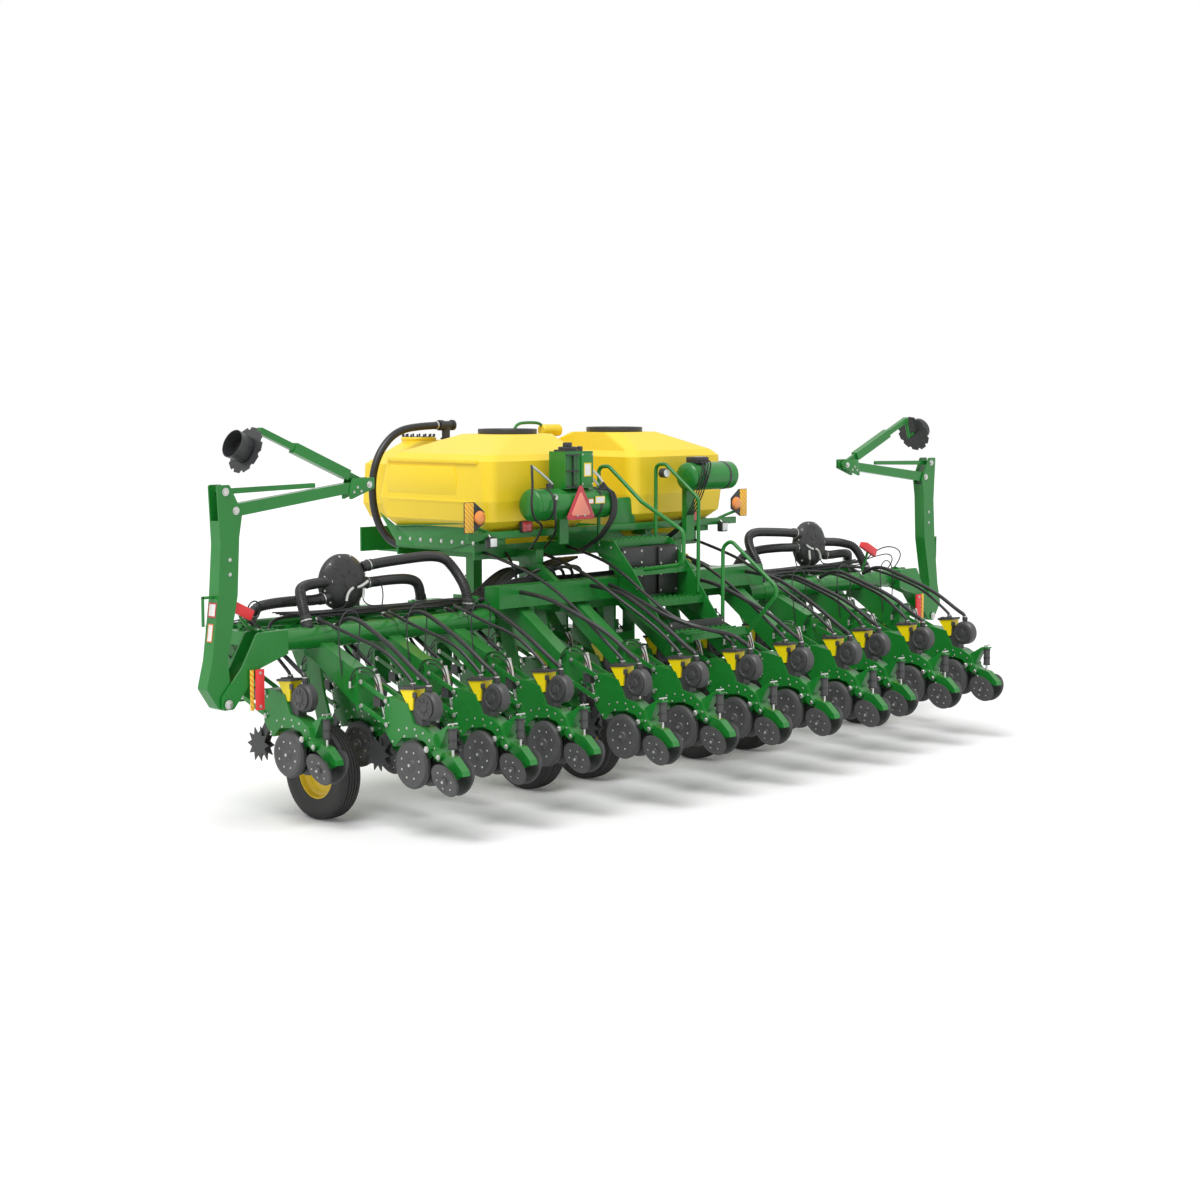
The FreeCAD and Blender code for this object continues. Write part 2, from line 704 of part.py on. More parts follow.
def bar_outline(start, end, half_start, half_end, cap):
    """A tapered bar between two points, with rounded ends that pass the points by cap."""
    along = Vector(end[0] - start[0], end[1] - start[1], 0).normalize()
    across = Vector(-along.y, along.x, 0)
    first = Vector(start[0], start[1], 0) - along * cap
    last = Vector(end[0], end[1], 0) + along * cap
    corners = [first - across * half_start, last - across * half_end,
               last + across * half_end, first + across * half_start]
    radius = min(half_start, half_end, cap) * 0.7
    return [(corner.x, corner.y, radius) for corner in corners]


def marker_arm():
    """A box arm, bored for the post's pin and forked round the tip's root."""
    y = size("marker_y")
    half = size("marker_arm_width") / 2
    arm = prism("ArmBar", bar_outline(TOP_PIN, TIP_PIN, 52, 44, 44), "marker_arm_width",
                "marker_y", "XZ_Plane")
    bore = round_bar("ArmBore", "marker_pin_radius + running_gap",
                     (TOP_PIN[0], y - 60, TOP_PIN[1]), (TOP_PIN[0], y + 60, TOP_PIN[1]))
    fork = block("ArmFork", (-3520, y - 21, 2780), (240, 42, 220))
    opened = cut("ArmOpened", arm, fuse("ArmHoles", [bore, fork]))
    tip_pin = round_bar("TipPin", 18, (TIP_PIN[0], y - half + 2, TIP_PIN[1]),
                        (TIP_PIN[0], y + half - 2, TIP_PIN[1]))
    return fuse("Arm", [opened, tip_pin])


def tip_frame():
    """Unit vectors along the tip, outwards, and square to it, downwards."""
    along = Vector(TIP_END[0] - TIP_PIN[0], 0, TIP_END[1] - TIP_PIN[1]).normalize()
    return along, Vector(-along.z, 0, along.x)


def marker_tip():
    y = size("marker_y")
    along, down = tip_frame()
    pin = Vector(TIP_PIN[0], y, TIP_PIN[1])
    knee = pin + along * 230
    sleeve_end = pin + along * 840
    end = Vector(TIP_END[0], y, TIP_END[1])
    hub = Vector(DISC_CENTRE[0], y, DISC_CENTRE[1])
    elbow = hub - along * 90
    root = prism("TipRoot", bar_outline(TIP_PIN, (knee.x, knee.z), 30, 34, 26), 30,
                 "marker_y", "XZ_Plane")
    sleeve = prism("TipSleeve", bar_outline((knee.x, knee.z), (sleeve_end.x, sleeve_end.z),
                                            45, 45, 10), 76, "marker_y", "XZ_Plane")
    bar = prism("TipBar", bar_outline((knee.x, knee.z), (end.x, end.z), 28, 28, 12), 54,
                "marker_y", "XZ_Plane")
    drop = round_bar("TipDrop", 20, end, elbow)
    stub = round_bar("TipStub", 14, elbow - along * 20, hub + along * 40)
    bore = round_bar("TipBore", 18.05, (TIP_PIN[0], y - 60, TIP_PIN[1]),
                     (TIP_PIN[0], y + 60, TIP_PIN[1]))
    solid = fuse("TipSolid", [root, sleeve, bar, drop, stub])
    return cut("Tip", solid, bore)


def marker_disc():
    """A notched blade and a depth drum that turn on the tip's stub, along the tip."""
    radius = size("marker_blade_radius")
    corners = []
    for tooth in range(10):
        for part, reach in ((0, radius), (0.6, radius), (0.72, radius - 22), (0.88, radius - 22)):
            step = 2 * math.pi * (tooth + part) / 10
            corners.append((reach * math.cos(step), reach * math.sin(step)))
    blade = prism("BladePlate", corners, 6)
    drum = turned("DepthDrum", [(0, 0), (0, 60), (12, 60), (12, size("marker_drum_radius") - 8),
                                (145, size("marker_drum_radius")),
                                (145, size("marker_drum_radius") - 6),
                                (24, size("marker_drum_radius") - 14), (24, 40), (50, 40), (50, 0)])
    bore = round_bar("DiscBore", 14.05, (-30, 0, 0), (40.5, 0, 0))
    disc = cut("DiscBored", fuse("DiscSolid", [blade, drum]), bore)
    document.recompute()
    along, _ = tip_frame()
    shape = disc.Shape.copy()
    shape.Placement = FreeCAD.Placement(Vector(DISC_CENTRE[0], size("marker_y"), DISC_CENTRE[1]),
                                        FreeCAD.Rotation(Vector(1, 0, 0), along))
    return shaped("Disc", Part.makeCompound([shape]))


def marker_link():
    y = size("marker_y")
    bar = prism("LinkBar", bar_outline(LINK_PIN, LINK_END, 24, 20, 24), 24, "marker_y",
                "XZ_Plane")
    bore = round_bar("LinkBore", "marker_pin_radius + running_gap",
                     (LINK_PIN[0], y - 60, LINK_PIN[1]), (LINK_PIN[0], y + 60, LINK_PIN[1]))
    return cut("UpperLink", bar, bore)


# Tanks, cradle, stairs, tongue and jack

def rear_tank():
    a, b = size("tank_inner"), size("tank_outer")
    rear, ahead = size("tank_rear"), size("tank_front")
    sections = [(size("tank_floor"), a + 180, b - 260, rear + 330, ahead - 300, 60),
                (2470, a + 15, b - 30, rear + 20, ahead - 70, 90),
                (size("tank_shoulder"), a, b, rear, ahead, 110),
                (size("tank_edge") - 60, a + 12, b - 20, rear + 15, ahead - 90, 120),
                (size("tank_edge"), a + 70, b - 90, rear + 70, ahead - 160, 120),
                (size("tank_crown"), a + 110, b - 560, rear + 370, ahead - 560, 160)]
    return lofted("RearTank", sections)


def front_tank():
    half = size("front_tank_half")
    rear, ahead = size("front_tank_rear"), size("front_tank_front")
    sections = [(2420, -half + 60, half - 60, rear + 30, ahead - 60, 90),
                (2560, -half, half, rear, ahead, 120),
                (2960, -half, half, rear, ahead - 40, 120),
                (3190, -half + 420, half - 420, rear + 120, ahead - 180, 100)]
    return lofted("FrontTank", sections)


def tank_lid(name, side):
    lid = document.addObject("Part::Cylinder", name)
    bind(lid, "Radius", "tank_lid_radius")
    bind(lid, "Height", "tank_lid_height")
    return put(lid, f"{side} * tank_lid_x", "tank_lid_y", "tank_crown + 1")


def cradle():
    parts = []
    for word, side in (("Left", -1), ("Right", 1)):
        low = -1040 if side < 0 else 940
        parts.append(block("CradleRail" + word, (low, 1480, 2060), (100, 2320, 120)))
        post = -690 if side < 0 else 590
        parts.append(block("CradlePost" + word, (post, 1960, 1680), (100, 120, 380)))
        brace = [(1240, 1900), (1400, 1900), (1800, 2080), (1800, 2180), (1680, 2180)]
        parts.append(prism("CradleBrace" + word, brace, 60, side * 990))
        parts.append(block("OuterSaddle" + word, (-1580 if side < 0 else 1560, 1760, 2170),
                           (20, 1120, 260)))
        parts.append(block("InnerSaddle" + word, (-400 if side < 0 else 380, 1760, 2170),
                           (20, 1120, 260)))
    for index, y in enumerate((1760, 2860, 3420)):
        parts.append(block(f"CradleCross{index}", (-1580, y, 2100), (3160, 20, 240)))
    parts.append(block("PostCross", (-1040, 1960, 2060), (2080, 120, 80)))
    parts.append(block("FrontPost", (-60, 3420, 1330), (120, 120, 780)))
    return fuse("CradleSolid", parts)


STEPS = ((2240, 1180, 250), (1970, 940, 220), (1680, 720, 220), (1410, 150, 300))


def stairs():
    left, right = size("stair_left"), size("stair_right")
    parts = []
    for index, (top, front_edge, depth) in enumerate(STEPS):
        parts.append(block(f"Tread{index}", (left, front_edge, f"{top} - tread_thickness"),
                           (right - left, depth, "tread_thickness")))
    outline = [(1430, 2240), (1430, 2150), (1090, 1900), (1090, 1650), (500, 1340),
               (140, 1340), (140, 1400), (480, 1420), (700, 1700), (920, 1990), (1160, 2240)]
    for word, x in (("Left", left), ("Right", right)):
        parts.append(prism("Stringer" + word, outline, "stringer_thickness", x))
    rails = [((left, 1370, 2200), (left, 1370, 2960), (left, 1240, 2970), (left, 800, 2640),
              (left, 260, 2380), (left, 260, 2070), (left, 760, 1990)),
             ((right, 1370, 2200), (right, 1370, 2960), (right, 1240, 2970), (right, 800, 2640),
              (right, 800, 1720)),
             ((right, 480, 1400), (right, 480, 2180), (right, 380, 2250), (right, -240, 1800),
              (right, 150, 1380))]
    document.recompute()
    for index, points in enumerate(rails):
        parts.append(shaped(f"Rail{index}", tube("Rail", points, size("rail_radius"), 90)))
    return fuse("Stairs", parts)


def mud_panels():
    left, right = size("stair_left"), size("stair_right")
    outline = [(1088, 2180), (1100, 2180), (1100, 1700), (1088, 1700)]
    panel = prism("PanelLeft", outline, right - left - 40, (left + right) / 2)
    return panel


def reservoir():
    drum = round_bar("OilDrum", 150, (-1340, 1230, 2630), (-370, 1230, 2630))
    box = block("MeterBox", (-1000, 1120, 2775), (370, 220, 350))
    bracket = block("DrumBracket", (-900, 1300, 2240), (120, 40, 300))
    air = round_bar("AirTank", 140, (760, 1150, 2840), (1370, 1150, 2840))
    shelf = block("AirShelf", (800, 1200, 2200), (120, 60, 520))
    return fuse("OilSide", [drum, box, bracket]), fuse("AirSide", [air, shelf])


def tongue():
    width = size("tongue_width") - 2 * size("tongue_wall") - 2 * size("tongue_gap")
    height = size("tongue_height") - 2 * size("tongue_wall") - 2 * size("tongue_gap")
    z = size("tongue_z")
    inner = block("TongueBar", (-width / 2, 2450, z - height / 2), (width, 2950, height))
    neck = [(5180, z + height / 2), (5400, z + height / 2, 80), (5600, 620, 60), (5760, 620, 20),
            (5760, 500, 20), (5560, 500, 60), (5180, z - height / 2)]
    gooseneck = prism("Gooseneck", neck, 120)
    bore = round_bar("HitchBore", "hitch_bore", (0, size("hitch_y"), 400), (0, size("hitch_y"), 700))
    slot = block("HitchSlot", (-70, 5620, "hitch_z - 28"), (140, 160, 56))
    collar = round_bar("JackCollar", 58, (size("jack_x"), size("jack_y"), z - 120),
                       (size("jack_x"), size("jack_y"), z + 160))
    collar_bore = round_bar("CollarBore", size("jack_tube") + 0.05,
                            (size("jack_x"), size("jack_y"), z - 125),
                            (size("jack_x"), size("jack_y"), z + 165))
    web = block("JackWeb", (size("jack_x"), size("jack_y") - 30, z - 80), (150, 60, 160))
    solid = fuse("TongueSolid", [inner, gooseneck, collar, web])
    holes = fuse("TongueHoles", [bore, slot, collar_bore])
    return cut("TongueInner", solid, holes)


def jack():
    x, y, z = size("jack_x"), size("jack_y"), size("tongue_z")
    leg = round_bar("JackLeg", "jack_tube", (x, y, 20), (x, y, z + 260))
    foot = round_bar("JackFoot", "jack_foot", (x, y, 0), (x, y, 20))
    return fuse("JackSolid", [leg, foot])


# Assembly

masters = make_masters()
for section, ranks in rows.items():
    everywhere = ranks["rear"] + ranks["front"]
    for group in ("row_units", "hoppers", "meters", "struts", "openers", "closing_wheels"):
        name = f"{section}_{group}"
        node(name, copies(name.title().replace("_", ""), masters[group], everywhere))
    for rank, places in ranks.items():
        name = f"{section}_{rank}_gauge_wheels"
        node(name, copies(name.title().replace("_", ""), masters["gauge_wheels"], places))

mirror_node("right_wing_frame", node("left_wing_frame", left_wing()))
node("centre_frame", centre_frame())

tyre, rim = make_tyre(), make_rim()
document.recompute()
axle = size("tyre_radius")
wheel_places = {
    "left_wing": [(-size("wing_wheel_x"), size("wing_wheel_y"), 1)],
    "right_wing": [(size("wing_wheel_x"), size("wing_wheel_y"), -1)],
    "left_centre": [(-size("inner_wheel_x"), size("centre_wheel_y"), -1),
                    (-size("outer_wheel_x"), size("centre_wheel_y"), 1)],
    "right_centre": [(size("inner_wheel_x"), size("centre_wheel_y"), 1),
                     (size("outer_wheel_x"), size("centre_wheel_y"), -1)],
}
for name, places in wheel_places.items():
    for word, source in (("tyres", tyre), ("rims", rim)):
        shapes = []
        for x, y, facing in places:
            piece = source.Shape.copy()
            if facing > 0:
                piece.rotate(Vector(0, 0, 0), Vector(0, 0, 1), 180)
            piece.translate(Vector(x, y, axle))
            shapes.append(piece)
        label = f"{name}_{word}" if len(places) > 1 else f"{name}_{word[:-1]}"
        node(label, shaped(label.title().replace("_", ""), Part.makeCompound(shapes)))

for name, piece in (("post", marker_post()), ("arm", marker_arm()), ("tip", marker_tip()),
                    ("link", marker_link()), ("disc", marker_disc())):
    mirror_node(f"right_marker_{name}", node(f"left_marker_{name}", piece))

right_tank = rear_tank()
left_tank = mirrored("LeftTank", right_tank)
cradle_seated = cut("Cradle", cradle(), fuse("BothTanks", [left_tank, right_tank]))
node("rear_tanks", left_tank, right_tank)
node("front_tank", front_tank())
node("tank_cradle", cradle_seated)
node("left_tank_lid", tank_lid("LeftLid", -1))
node("right_tank_lid", tank_lid("RightLid", 1))
steps = stairs()
node("stairs", steps)
node("mud_panel", cut("MudPanel", mud_panels(), steps))
oil, air = reservoir()
node("oil_reservoir", oil)
node("air_tank", air)
node("tongue", tongue())
node("jack_leg", jack())

document.recompute()
for item in document.Objects:
    if {"Invalid", "Error"} & set(item.State):
        raise RuntimeError(f"{item.Name} failed")

os.makedirs("parts", exist_ok=True)
for item in nodes:
    shape = item.Shape
    if shape.isNull() or not shape.isValid():
        raise RuntimeError(f"{item.Label} has no sound shape")
    shape.exportStep(f"parts/{item.Label}.step")
print(len(nodes), "nodes written")
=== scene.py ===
from math import cos, pi, radians, sin

import bmesh
import bpy
from mathutils import Matrix, Vector


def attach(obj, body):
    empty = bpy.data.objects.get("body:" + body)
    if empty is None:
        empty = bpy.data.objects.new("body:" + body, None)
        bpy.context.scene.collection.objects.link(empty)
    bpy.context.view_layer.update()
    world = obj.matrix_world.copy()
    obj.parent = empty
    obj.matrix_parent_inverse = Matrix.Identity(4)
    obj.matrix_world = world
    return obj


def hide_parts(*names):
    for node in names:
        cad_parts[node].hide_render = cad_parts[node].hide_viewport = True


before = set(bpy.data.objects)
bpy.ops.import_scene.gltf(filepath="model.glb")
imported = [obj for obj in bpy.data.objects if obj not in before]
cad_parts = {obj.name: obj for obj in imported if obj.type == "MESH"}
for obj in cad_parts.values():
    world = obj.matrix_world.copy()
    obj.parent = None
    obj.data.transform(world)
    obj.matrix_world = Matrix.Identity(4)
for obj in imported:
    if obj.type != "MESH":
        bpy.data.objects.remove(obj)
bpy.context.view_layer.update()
bpy.ops.object.select_all(action="DESELECT")
# Pieces are drawn with y = 0 at the wings' rear gauge wheels' axle line, this far behind
# the machine's middle
gaugeLine = -2.497
print("frame loaded")


# Materials
def hexColour(text):
    # sRGB hex to the linear values that a shader socket takes
    parts = [int(text[i:i + 2], 16) / 255 for i in (0, 2, 4)]
    return [c / 12.92 if c <= 0.04045 else ((c + 0.055) / 1.055) ** 2.4 for c in parts] + [1]


def addNode(tree, kind, settings=None, links=None):
    # one node, its settings (properties or sockets) and what feeds its sockets
    made = tree.nodes.new(kind)
    for name, value in (settings or {}).items():
        if isinstance(name, str) and hasattr(made, name):
            setattr(made, name, value)
        else:
            made.inputs[name].default_value = value
    for name, source in (links or {}).items():
        tree.links.new(source, made.inputs[name])
    return made


def newMaterial(name):
    material = bpy.data.materials.new(name)
    material.use_nodes = True
    tree = material.node_tree
    shader = tree.nodes["Principled BSDF"]
    place = addNode(tree, "ShaderNodeTexCoord").outputs["Object"]
    return material, tree, shader, place


def noiseOf(tree, place, scale, detail=1.0):
    return addNode(tree, "ShaderNodeTexNoise", {"Scale": scale, "Detail": detail},
                   {"Vector": place}).outputs["Fac"]


def mixedColour(tree, factor, dark, light):
    return addNode(tree, "ShaderNodeMix", {"data_type": "RGBA", 6: hexColour(dark),
                                           7: hexColour(light)}, {0: factor}).outputs[2]


def bumpFrom(tree, shader, height, strength, distance):
    bump = addNode(tree, "ShaderNodeBump", {"Strength": strength, "Distance": distance},
                   {"Height": height})
    tree.links.new(bump.outputs[0], shader.inputs["Normal"])


def roughnessFrom(tree, shader, factor, low, high):
    rough = addNode(tree, "ShaderNodeMapRange", {3: low, 4: high}, {"Value": factor})
    tree.links.new(rough.outputs[0], shader.inputs["Roughness"])


# Gloss enamel on steel: smooth, even, slightly wavy, with dust on what faces up
def enamel(name, dark, light, roughness=0.28, dust="8A8675", dustShare=0.16):
    material, tree, shader, place = newMaterial(name)
    # patches some 0.6 m across, where the coat is a little fuller or thinner
    cloud = noiseOf(tree, place, 1.7, 3.0)
    coat = mixedColour(tree, cloud, dark, light)
    # fine dust in specks of about 8 mm, on upward faces
    facing = addNode(tree, "ShaderNodeNewGeometry")
    up = addNode(tree, "ShaderNodeSeparateXYZ", {}, {"Vector": facing.outputs["Normal"]})
    lying = addNode(tree, "ShaderNodeMath", {"operation": "MULTIPLY", "use_clamp": True},
                    {0: up.outputs["Z"], 1: noiseOf(tree, place, 120.0, 2.0)})
    share = addNode(tree, "ShaderNodeMath", {"operation": "MULTIPLY", 1: dustShare},
                    {0: lying.outputs[0]})
    dusty = addNode(tree, "ShaderNodeMix", {"data_type": "RGBA", 7: hexColour(dust)},
                    {0: share.outputs[0], 6: coat})
    tree.links.new(dusty.outputs[2], shader.inputs["Base Color"])
    # orange-peel of sprayed paint, drawn at 6 mm so that it shows
    bumpFrom(tree, shader, noiseOf(tree, place, 160.0), 0.04, 0.002)
    roughnessFrom(tree, shader, cloud, roughness - 0.05, roughness + 0.1)
    shader.inputs["IOR"].default_value = 1.5
    return material


# Moulded or vulcanised black goods: even colour, matt grain
def moulded(name, dark, light, roughness=0.5, grain=900.0, depth=0.12):
    material, tree, shader, place = newMaterial(name)
    cloud = noiseOf(tree, place, 6.0, 4.0)
    tree.links.new(mixedColour(tree, cloud, dark, light), shader.inputs["Base Color"])
    bumpFrom(tree, shader, noiseOf(tree, place, grain), depth, 0.001)
    roughnessFrom(tree, shader, cloud, roughness - 0.06, roughness + 0.08)
    return material


# Bare and plated metal: brushed grain at 2 mm, faint stains at 5 cm
def plated(name, dark, light, roughness=0.3):
    material, tree, shader, place = newMaterial(name)
    stain = noiseOf(tree, place, 20.0, 3.0)
    tree.links.new(mixedColour(tree, stain, dark, light), shader.inputs["Base Color"])
    roughnessFrom(tree, shader, noiseOf(tree, place, 500.0), roughness - 0.08, roughness + 0.12)
    shader.inputs["Metallic"].default_value = 0.9
    return material


# Lamp glass: clear colour with a moulded prism pattern of 6 mm
def lensGlass(name, dark, light):
    material, tree, shader, place = newMaterial(name)
    prisms = addNode(tree, "ShaderNodeTexVoronoi", {"Scale": 160.0}, {"Vector": place})
    tree.links.new(mixedColour(tree, prisms.outputs["Distance"], dark, light),
                   shader.inputs["Base Color"])
    bumpFrom(tree, shader, prisms.outputs["Distance"], 0.3, 0.001)
    shader.inputs["Roughness"].default_value = 0.12
    shader.inputs["Coat Weight"].default_value = 0.6
    return material


# Reflective film: slanting bands in two colours
def bandedFilm(name, first, second, scale=14.0):
    material, tree, shader, place = newMaterial(name)
    bands = addNode(tree, "ShaderNodeTexWave", {"wave_type": "BANDS", "Scale": scale,
                                                "bands_direction": "DIAGONAL"},
                    {"Vector": place}).outputs["Fac"]
    sharp = addNode(tree, "ShaderNodeMapRange", {1: 0.47, 2: 0.53}, {"Value": bands})
    tree.links.new(mixedColour(tree, sharp.outputs[0], first, second),
                   shader.inputs["Base Color"])
    shader.inputs["Roughness"].default_value = 0.3
    return material


finish = {
    # sprayed two-coat enamel over steel: a bright, even gloss
    "greenEnamel": enamel("green enamel on steel", "167026", "228834", 0.24),
    "yellowEnamel": enamel("yellow enamel on steel", "D9B71A", "EACA26", 0.3),
    "redEnamel": enamel("red enamel on steel", "D8262C", "F23B40", 0.3),
    "whiteEnamel": enamel("white enamel on steel", "D9D9D4", "ECECE8", 0.3),
    # rotationally moulded polyethylene: satin, faintly uneven
    "yellowTank": enamel("rotomoulded yellow polyethylene", "F4D025", "FBDA2C", 0.36,
                         "FFF3B0", 0.1),
    "yellowMoulding": enamel("injection moulded yellow polyethylene", "F2D800", "FFE814", 0.34),
    # injection moulded polypropylene: dark grey-black with a fine grain
    "blackMoulding": moulded("moulded black polypropylene", "2A2A2B", "3A3A3B", 0.42),
    "meterMoulding": moulded("moulded dark grey nylon", "3C3C3D", "4A4A4B", 0.4),
    # rubber: tyres browner and duller than hoses, wheel bands lighter with dust
    "tyreRubber": moulded("tyre rubber", "1F1F1F", "2B2B2A", 0.6, 500.0, 0.2),
    "wheelRubber": moulded("moulded wheel rubber", "303030", "424242", 0.55, 600.0, 0.2),
    "wheelFace": moulded("grey painted wheel disc", "404041", "505051", 0.45, 500.0, 0.06),
    "hoseRubber": moulded("smooth black hose rubber", "1C1C1D", "2B2B2C", 0.36, 700.0, 0.08),
    "darkSteel": moulded("black enamel on steel", "2C2D2E", "3C3D3E", 0.35, 400.0, 0.05),
    # galvanised and chromed small parts that catch the light
    "zincSteel": plated("zinc plated steel", "B7B8B4", "DCDDD9", 0.32),
    "chromeSteel": plated("hard chromed steel", "D6D8DA", "F2F3F4", 0.14),
    # lamps glow with their own colour against the green
    "amberLens": lensGlass("amber acrylic lens", "F07A18", "FFA85A"),
    "redLens": lensGlass("red acrylic lens", "B8242C", "E0444A"),
    "clearLens": lensGlass("clear acrylic lens", "D8DCDC", "FFFFFF"),
    # films and blank labels: flat, satin, crisp at their edges
    "salmonFilm": bandedFilm("fluorescent sign film", "EE8A78", "F0957F", 60.0),
    "redFilm": bandedFilm("dark red reflective film", "B8303C", "C8434F", 60.0),
    "stripedFilm": bandedFilm("striped amber reflective film", "F29A2E", "F6D24A"),
    "whiteFilm": enamel("white vinyl label", "E4E4E0", "F2F2EE", 0.4),
    "orangeFilm": enamel("orange vinyl label edge", "E06A1C", "F27E2E", 0.4),
    "yellowFilm": enamel("yellow vinyl label edge", "E6C81C", "F2D62E", 0.4),
}

# What a CAD node's name says about its finish; all else is green
dress = {"hoppers": "yellowMoulding", "meters": "meterMoulding", "struts": "whiteEnamel",
         "openers": "darkSteel", "closing_wheels": "wheelRubber", "gauge_wheels": "wheelRubber",
         "tyre": "tyreRubber", "rim": "yellowEnamel", "rear_tanks": "yellowTank",
         "front_tank": "yellowTank", "tank_lid": "blackMoulding", "mud_panel": "blackMoulding",
         "marker_disc": "darkSteel", "jack_leg": "darkSteel"}
for name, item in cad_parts.items():
    look = next((value for word, value in dress.items() if word in name), "greenEnamel")
    item.data.materials.clear()
    item.data.materials.append(finish[look])


def paintFaces(node, look, test):
    # a second finish on those faces of a CAD node that the test takes
    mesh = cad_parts[node].data
    mesh.materials.append(finish[look])
    place = len(mesh.materials) - 1
    for face in mesh.polygons:
        if test(face.center, face.normal):
            face.material_index = place


for side in ("left", "centre", "right"):
    # zinc damper rods and chromed cylinder rods, by height
    paintFaces(f"{side}_struts", "zincSteel", lambda c, n: c.z < 0.81)
    paintFaces(f"{side}_struts", "chromeSteel", lambda c, n: 0.98 < c.z < 1.115)
    # the wheels' discs, not their bands
    for rank in ("front", "rear"):
        paintFaces(f"{side}_{rank}_gauge_wheels", "wheelFace", lambda c, n: abs(n.x) > 0.8)
    paintFaces(f"{side}_closing_wheels", "wheelFace",
               lambda c, n: abs(n.x * 0.927) + abs(n.z * 0.375) > 0.93)
print("frame dressed")


# Modelling helpers
def chooseOnly(*pieces):
    bpy.ops.object.select_all(action="DESELECT")
    for piece in pieces:
        piece.select_set(True)
    bpy.context.view_layer.objects.active = pieces[0]


def settle(piece):
    chooseOnly(piece)
    bpy.ops.object.transform_apply(location=True, rotation=True, scale=True)
    return piece


def coated(piece, look):
    if look:
        piece.data.materials.clear()
        piece.data.materials.append(finish[look])
    return piece


def addModifier(piece, kind, **settings):
    chooseOnly(piece)
    made = piece.modifiers.new(kind.lower(), kind)
    for name, value in settings.items():
        setattr(made, name, value)
    bpy.ops.object.modifier_apply(modifier=made.name)
    return piece


def roundOff(piece, width):
    return addModifier(piece, "BEVEL", width=width, segments=2, limit_method="ANGLE",
                       angle_limit=radians(35))


def workFaces(piece, test, *actions):
    # edit mode with the faces that the test takes selected
    chooseOnly(piece)
    bpy.ops.object.mode_set(mode="EDIT")
    bpy.ops.mesh.select_mode(type="FACE")
    bpy.ops.mesh.select_all(action="DESELECT")
    mesh = bmesh.from_edit_mesh(piece.data)
    for face in mesh.faces:
        face.select_set(test(face.calc_center_median(), face.normal))
    bmesh.update_edit_mesh(piece.data)
    for action in actions:
        action()
    bpy.ops.object.mode_set(mode="OBJECT")
    return piece


def everyFace(centre, normal):
    return True


def trimmed(piece, point, normal):
    # cuts away what lies past a plane and closes the cut
    return workFaces(piece, everyFace, lambda: bpy.ops.mesh.bisect(
        plane_co=point, plane_no=normal, use_fill=True, clear_outer=True))


def slab(corner, opposite, edge, look=None, cuts=()):
    # a plate or block between two corners, cut by (point, normal) planes, its edges rounded
    low, high = zip(*(sorted(pair) for pair in zip(corner, opposite)))
    bpy.ops.mesh.primitive_cube_add(size=1, location=[(a + b) / 2 for a, b in zip(low, high)])
    piece = bpy.context.object
    piece.scale = [b - a for a, b in zip(low, high)]
    settle(piece)
    for point, normal in cuts:
        trimmed(piece, point, normal)
    if edge:
        roundOff(piece, edge)
    return coated(piece, look)


def placement(point, direction=(0, 0, 1), turn=0.0):
    aim = Vector(direction).to_track_quat("Z", "Y").to_matrix().to_4x4()
    return Matrix.Translation(point) @ aim @ Matrix.Rotation(turn, 4, "Z")


def moved(piece, matrix):
    piece.matrix_world = matrix
    return settle(piece)


def turned(steps, point=(0, 0, 0), direction=(0, 0, 1), sides=24, look=None, hollow=False):
    # (height, radius) steps: a cone, its cap then extruded and resized step by step; hollow
    # takes out both caps and joins the first ring to the last
    (low, first), (high, second) = steps[:2]
    bpy.ops.mesh.primitive_cone_add(vertices=sides, radius1=first, radius2=second,
                                    depth=high - low, location=(0, 0, (low + high) / 2))
    piece = settle(bpy.context.object)

    def climb():
        height, radius = high, second
        for above, reach in steps[2:]:
            bpy.ops.mesh.extrude_region_move(
                TRANSFORM_OT_translate={"value": (0, 0, above - height)})
            bpy.ops.transform.resize(value=(reach / radius, reach / radius, 1),
                                     center_override=(0, 0, above))
            height, radius = above, reach
        if hollow:
            bpy.ops.mesh.delete(type="ONLY_FACE")
    workFaces(piece, lambda c, n: n.z > 0.99 and c.z > high - 1e-6, climb)
    if hollow:
        workFaces(piece, lambda c, n: n.z < -0.99 and c.xy.length < 1e-4 and c.z < low + 1e-6,
                  lambda: bpy.ops.mesh.delete(type="ONLY_FACE"),
                  lambda: bpy.ops.mesh.select_mode(type="EDGE"),
                  lambda: bpy.ops.mesh.select_non_manifold(),
                  lambda: bpy.ops.mesh.bridge_edge_loops())
    return coated(moved(piece, placement(point, direction)), look)


def rod(start, end, radius, sides=16, look=None):
    start, end = Vector(start), Vector(end)
    length = (end - start).length
    edge = min(radius, length) * 0.18
    return turned([(0, radius - edge), (edge, radius), (length - edge, radius),
                   (length, radius - edge)], start, end - start, sides, look)


def ringBand(reach, width, lip, point, direction, look, sides=20):
    # a band or clamp of given width round a tube, its outer edges eased by 1 mm
    return turned([(0, reach - lip), (0.001, reach), (width - 0.001, reach),
                   (width, reach - lip)], point, direction, sides, look)


def joined(pieces):
    chooseOnly(*pieces)
    if len(pieces) > 1:
        bpy.ops.object.join()
    return settle(bpy.context.object)


def copied(model, matrix):
    copy = model.copy()
    copy.data = model.data.copy()
    bpy.context.scene.collection.objects.link(copy)
    copy.matrix_world = matrix
    return copy


def spread(model, places):
    # copies of a small model at (point, direction) places, as one mesh; the model goes
    made = [copied(model, placement(*place)) for place in places]
    bpy.data.objects.remove(model)
    return joined(made)


